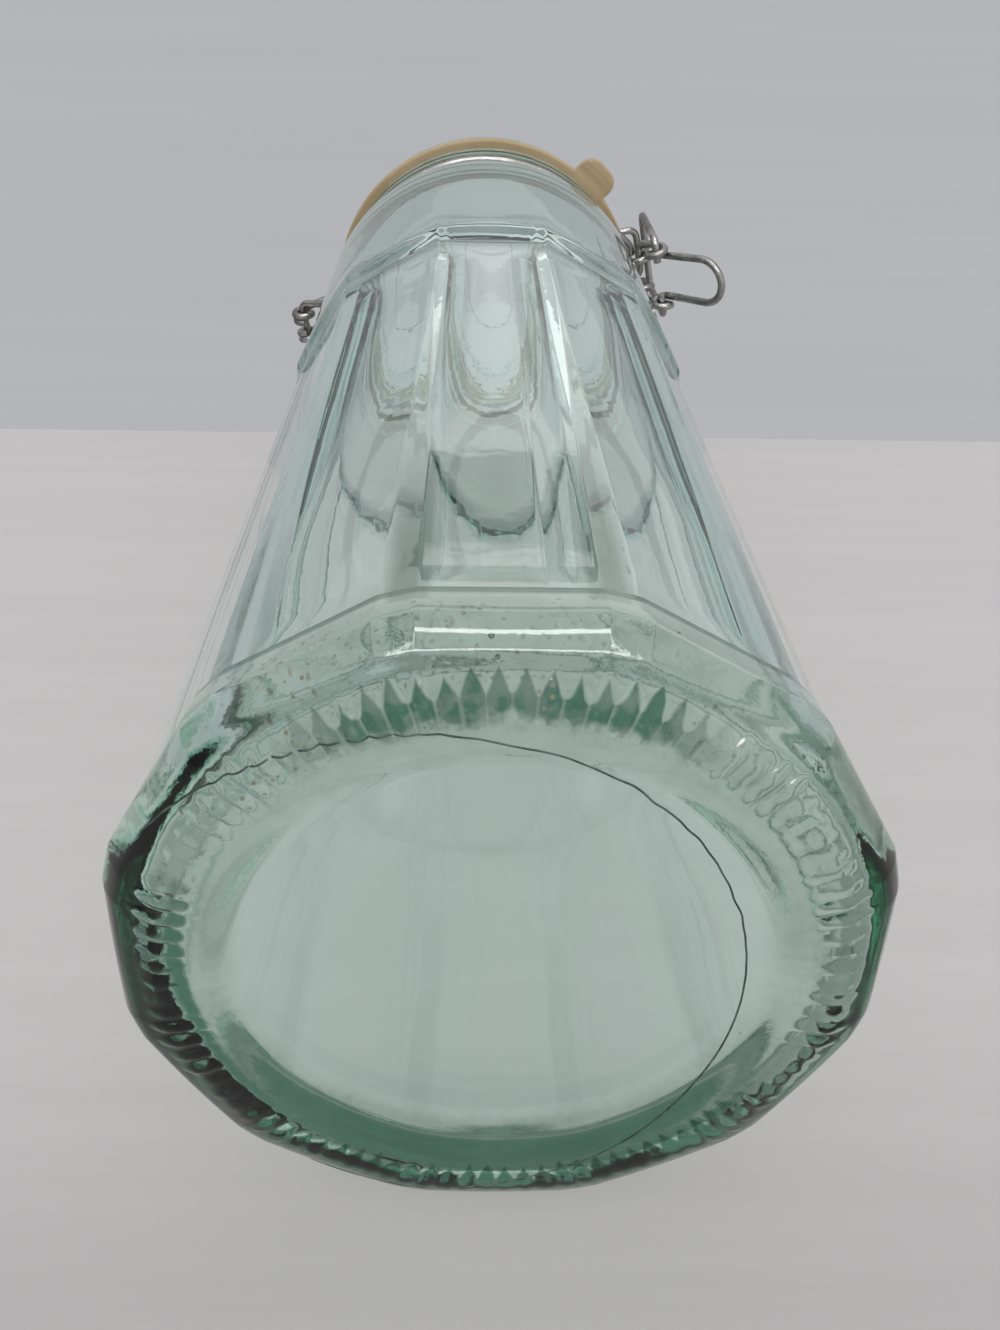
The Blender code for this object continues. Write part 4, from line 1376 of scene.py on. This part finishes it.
# Photograph: where the jar lies, and the camera
RESTING_SIDE = 11.5 * DEGREE
CONTACT_HEIGHT = 12 * MM
OUT = Vector((math.cos(RESTING_SIDE), math.sin(RESTING_SIDE), 0))
ACROSS = Vector((-OUT.y, OUT.x, 0))
HEEL_CONTACT = AXIS + OUT * HEEL_APOTHEM + Vector((0, 0, CONTACT_HEIGHT))
RUBBER_CONTACT = AXIS + OUT * GASKET_RADIUS + Vector((0, 0, Z_GASKET))
ALONG_TABLE = (RUBBER_CONTACT - HEEL_CONTACT).normalized()
TABLE_UP = ALONG_TABLE.cross(ACROSS).normalized()
TABLE_SIDE = ALONG_TABLE.cross(TABLE_UP)
CAMERA_PLACE = Vector((-0.15255596, -0.0193722, -0.14080464))
CAMERA_RIGHT = Vector((0.17664483, -0.98410786, -0.01811949))
CAMERA_FORWARD = Vector((0.5673791, 0.08676592, 0.81887278))
FOCAL_LENGTH = 37.895
SENSOR = 36.0

# Table and wall
TABLE_START = 0.30
TABLE_LENGTH = 0.263
WALL_DISTANCE = 0.40
WALL_HEIGHT = 0.135
WALL_DEPTH = 0.12
HALF_BREADTH = 0.6
STAGE_COLOUR = (0.22, 0.22, 0.22)
TABLE_GLOW = (0.385, 0.372, 0.372)
WALL_GLOW = (0.325, 0.33, 0.35)
STREAKS_PER_METRE = 110.0
STREAK_ENDS_PER_METRE = 2.0
STREAK_DEPTH = 0.025
NEAR_FADE = (-0.075, 0.05)
NEAR_GLOW = 0.68

# Light of the room. Heights and ways ahead in it are cosines: 1 is straight up, or straight along the table
LOW_LIGHT = 0.35
HIGH_LIGHT = 0.8
LAMP_LIGHT = 0.2
LAMP_LIGHT_HEIGHT = (0.88, 0.97)
FRONT_LIGHT = 0.6
FRONT_AHEAD = (0.68, 0.80)
FRONT_HEIGHT = (0.42, 0.56)
BACK_LIGHT = 0.25
BACK_AHEAD = (-0.1, -0.9)
SIDE_LIGHT = 0.75
SIDE_HEIGHT = (0.0, 0.6)
SHELF_LIGHT = 0.08
SHELF_LOW = (0.30, 0.312)
SHELF_HIGH = (0.365, 0.377)
SHELF_AHEAD = (0.80, 0.84)
BACKGROUND = (0.80, 0.80, 0.81)

# Ring lamp overhead
LAMP_PLACE = Vector((-0.941, -0.219, -0.259)).normalized()
LAMP_ACROSS = Vector((0.0, 0.0, 1.0)).cross(LAMP_PLACE).normalized()
LAMP_ALONG = LAMP_PLACE.cross(LAMP_ACROSS).normalized()
LAMP_FLARE = 0.7
LAMP_HALF_WIDTH = 1.09
LAMP_HALF_HEIGHT = 0.17
LAMP_BAR = 0.055
LAMP_END = 0.11
LAMP_WIDE = 0.235
LAMP_LONG = 2.94
LAMP_STEPS = 64
LAMP_STRENGTH = 12.0


def one_sided(name, glow, rise):
    """A matt backdrop that is only there from the front, with the light of the room beyond in its glow.

    The glow has faint level streaks that change in the direction of rise, and falls off towards the camera.
    """
    finish = Finish(name)
    finish.set(Base_Color=(*STAGE_COLOUR, 1.0), Roughness=0.9, Specular_IOR_Level=0.1)
    finish.set(Emission_Color=(*glow, 1.0), Emission_Strength=1.0)
    streaks = finish.node("CombineXYZ")
    finish.join(finish.product(finish.along(rise), STREAKS_PER_METRE), streaks.inputs["X"])
    finish.join(finish.product(finish.along(TABLE_SIDE), STREAK_ENDS_PER_METRE), streaks.inputs["Y"])
    grain = finish.noise(1.0, 4.0, 0.6, place=streaks.outputs["Vector"])
    grain = finish.spread(grain, 0.3, 0.7, 1 - STREAK_DEPTH, 1 + STREAK_DEPTH)
    gone = finish.total(finish.along(ALONG_TABLE), -HEEL_CONTACT.dot(ALONG_TABLE))
    near = finish.spread(gone, *NEAR_FADE, NEAR_GLOW, 1.0)
    finish.drive(Emission_Strength=finish.product(grain, near))
    pick = finish.node("MixShader")
    finish.join(finish.node("NewGeometry").outputs["Backfacing"], pick.inputs["Fac"])
    finish.join(finish.shader.outputs["BSDF"], pick.inputs[1])
    finish.join(finish.node("BsdfTransparent").outputs["BSDF"], pick.inputs[2])
    finish.join(pick.outputs["Shader"], finish.output.inputs["Surface"])
    return finish.made


def backdrop(name, centre, up, half_up, finish):
    """A flat sheet that faces the way of the table's side direction cross up."""
    side = TABLE_SIDE * HALF_BREADTH
    top = up * half_up
    corners = [centre - side - top, centre + side - top, centre + side + top, centre - side + top]
    mesh = bpy.data.meshes.new(name)
    mesh.from_pydata(corners, [], [(0, 1, 2, 3)])
    add_object(name, mesh, finish)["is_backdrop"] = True


def make_stage():
    """The table that the jar lies on, which ends before the jar's mouth, and the wall beyond it."""
    half_length = (TABLE_START + TABLE_LENGTH) / 2
    middle = HEEL_CONTACT + ALONG_TABLE * (half_length - TABLE_START)
    backdrop("table", middle, ALONG_TABLE, half_length, one_sided("pale_table", TABLE_GLOW, ALONG_TABLE))
    middle = HEEL_CONTACT + ALONG_TABLE * WALL_DISTANCE + TABLE_UP * (WALL_HEIGHT - WALL_DEPTH) / 2
    half_height = (WALL_HEIGHT + WALL_DEPTH) / 2
    backdrop("wall", middle, TABLE_UP, half_height, one_sided("pale_wall", WALL_GLOW, TABLE_UP))


def lamp_outline(half_width, half_height):
    """A stadium's outline, as places on the lamp's two directions."""
    places = []
    for step in range(LAMP_STEPS):
        angle = 2 * math.pi * step / LAMP_STEPS
        straight = (half_width - half_height) * (1 if math.cos(angle) >= 0 else -1)
        places.append((straight + half_height * math.cos(angle), half_height * math.sin(angle)))
    return places


def make_lamp():
    """The ring lamp overhead, which the heel and the wires mirror."""
    finish = Finish("lamp_light")
    finish.set(Base_Color=(0.0, 0.0, 0.0, 1.0), Emission_Color=(1.0, 1.0, 1.0, 1.0))
    finish.set(Emission_Strength=LAMP_STRENGTH)
    outer = lamp_outline(LAMP_HALF_WIDTH, LAMP_HALF_HEIGHT)
    inner = lamp_outline(LAMP_HALF_WIDTH - LAMP_END, LAMP_HALF_HEIGHT - LAMP_BAR)
    points = []
    for across, along in outer + inner:
        wide = LAMP_WIDE * (1 + LAMP_FLARE * (1 - along / LAMP_HALF_HEIGHT))
        points.append(LAMP_PLACE + LAMP_ACROSS * across * wide + LAMP_ALONG * along * LAMP_LONG)
    faces = []
    for step in range(LAMP_STEPS):
        after = (step + 1) % LAMP_STEPS
        faces.append((step, after, LAMP_STEPS + after, LAMP_STEPS + step))
    mesh = bpy.data.meshes.new("lamp")
    mesh.from_pydata(points, [], faces)
    lamp = add_object("lamp", mesh, finish.made)
    lamp.visible_camera = False
    lamp.visible_diffuse = False
    lamp.visible_transmission = False
    lamp.visible_shadow = False
    lamp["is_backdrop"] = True


def make_world():
    """The light of the room, a sum of smooth lights with a dark shelf, and a plain background."""
    world = bpy.data.worlds.new("plain_room")
    bpy.context.scene.world = world
    world.use_nodes = True
    sky = Nodes(world.node_tree, "Generated")
    height, ahead, aside = sky.along(TABLE_UP), sky.along(ALONG_TABLE), sky.along(-ACROSS)
    front = sky.product(sky.spread(ahead, *FRONT_AHEAD), sky.fade(height, *FRONT_HEIGHT))
    light = sky.total(
        sky.spread(height, 0.0, 1.0, LOW_LIGHT, HIGH_LIGHT),
        sky.spread(height, *LAMP_LIGHT_HEIGHT, 0.0, LAMP_LIGHT),
        sky.spread(front, 0.0, 1.0, 0.0, FRONT_LIGHT),
        sky.spread(ahead, *BACK_AHEAD, 0.0, BACK_LIGHT),
    )
    side = sky.product(aside, sky.spread(height, *SIDE_HEIGHT, SIDE_LIGHT, 0.0))
    shelf = sky.product(sky.spread(height, *SHELF_LOW), sky.fade(height, *SHELF_HIGH))
    shelf = sky.product(shelf, sky.spread(ahead, *SHELF_AHEAD))
    light = sky.product(light, sky.total(side, 1.0), sky.spread(shelf, 0.0, 1.0, 1.0, SHELF_LIGHT))
    room = sky.nodes["Background"]
    room.inputs["Color"].default_value = (1.0, 1.0, 1.0, 1.0)
    sky.join(light, room.inputs["Strength"])
    plain = sky.node("Background", Color=(*BACKGROUND, 1.0))
    pick = sky.node("MixShader")
    sky.join(sky.node("LightPath").outputs["Is Camera Ray"], pick.inputs["Fac"])
    sky.join(room.outputs["Background"], pick.inputs[1])
    sky.join(plain.outputs["Background"], pick.inputs[2])
    sky.join(pick.outputs["Shader"], sky.nodes["World Output"].inputs["Surface"])


def make_camera():
    camera = bpy.data.cameras.new("camera")
    camera.sensor_width = SENSOR
    camera.lens = FOCAL_LENGTH
    camera.clip_start = 0.01
    thing = bpy.data.objects.new("camera", camera)
    bpy.context.collection.objects.link(thing)
    down = CAMERA_FORWARD.cross(CAMERA_RIGHT).normalized()
    columns = (CAMERA_RIGHT, -down, -CAMERA_FORWARD)
    turn = Matrix([[column[row] for column in columns] for row in range(3)]).to_4x4()
    thing.matrix_world = Matrix.Translation(CAMERA_PLACE) @ turn
    bpy.context.scene.camera = thing


def set_rendering():
    """Enough bounces for light to pass both walls of the jar and the lid."""
    scene = bpy.context.scene
    scene.view_settings.view_transform = "Standard"
    scene.cycles.max_bounces = 32
    scene.cycles.transmission_bounces = 32
    scene.cycles.glossy_bounces = 12
    scene.cycles.transparent_max_bounces = 32


def plain_box(bounds):
    return [list(corner) if hasattr(corner, "__len__") else corner for corner in bounds]


make_camera()
make_stage()
make_lamp()
make_world()
set_rendering()
make_jar(make_jar_glass())
make_scar(make_hairline_shade())
make_lid(make_lid_glass())
make_gasket(make_rubber())
STEEL = make_steel()
make_neck_wire(STEEL)
make_lid_wire(STEEL)
make_lever(STEEL)
make_link(STEEL)

{"cad": plain_box(CAD_BOX), "visual": plain_box(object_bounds())}
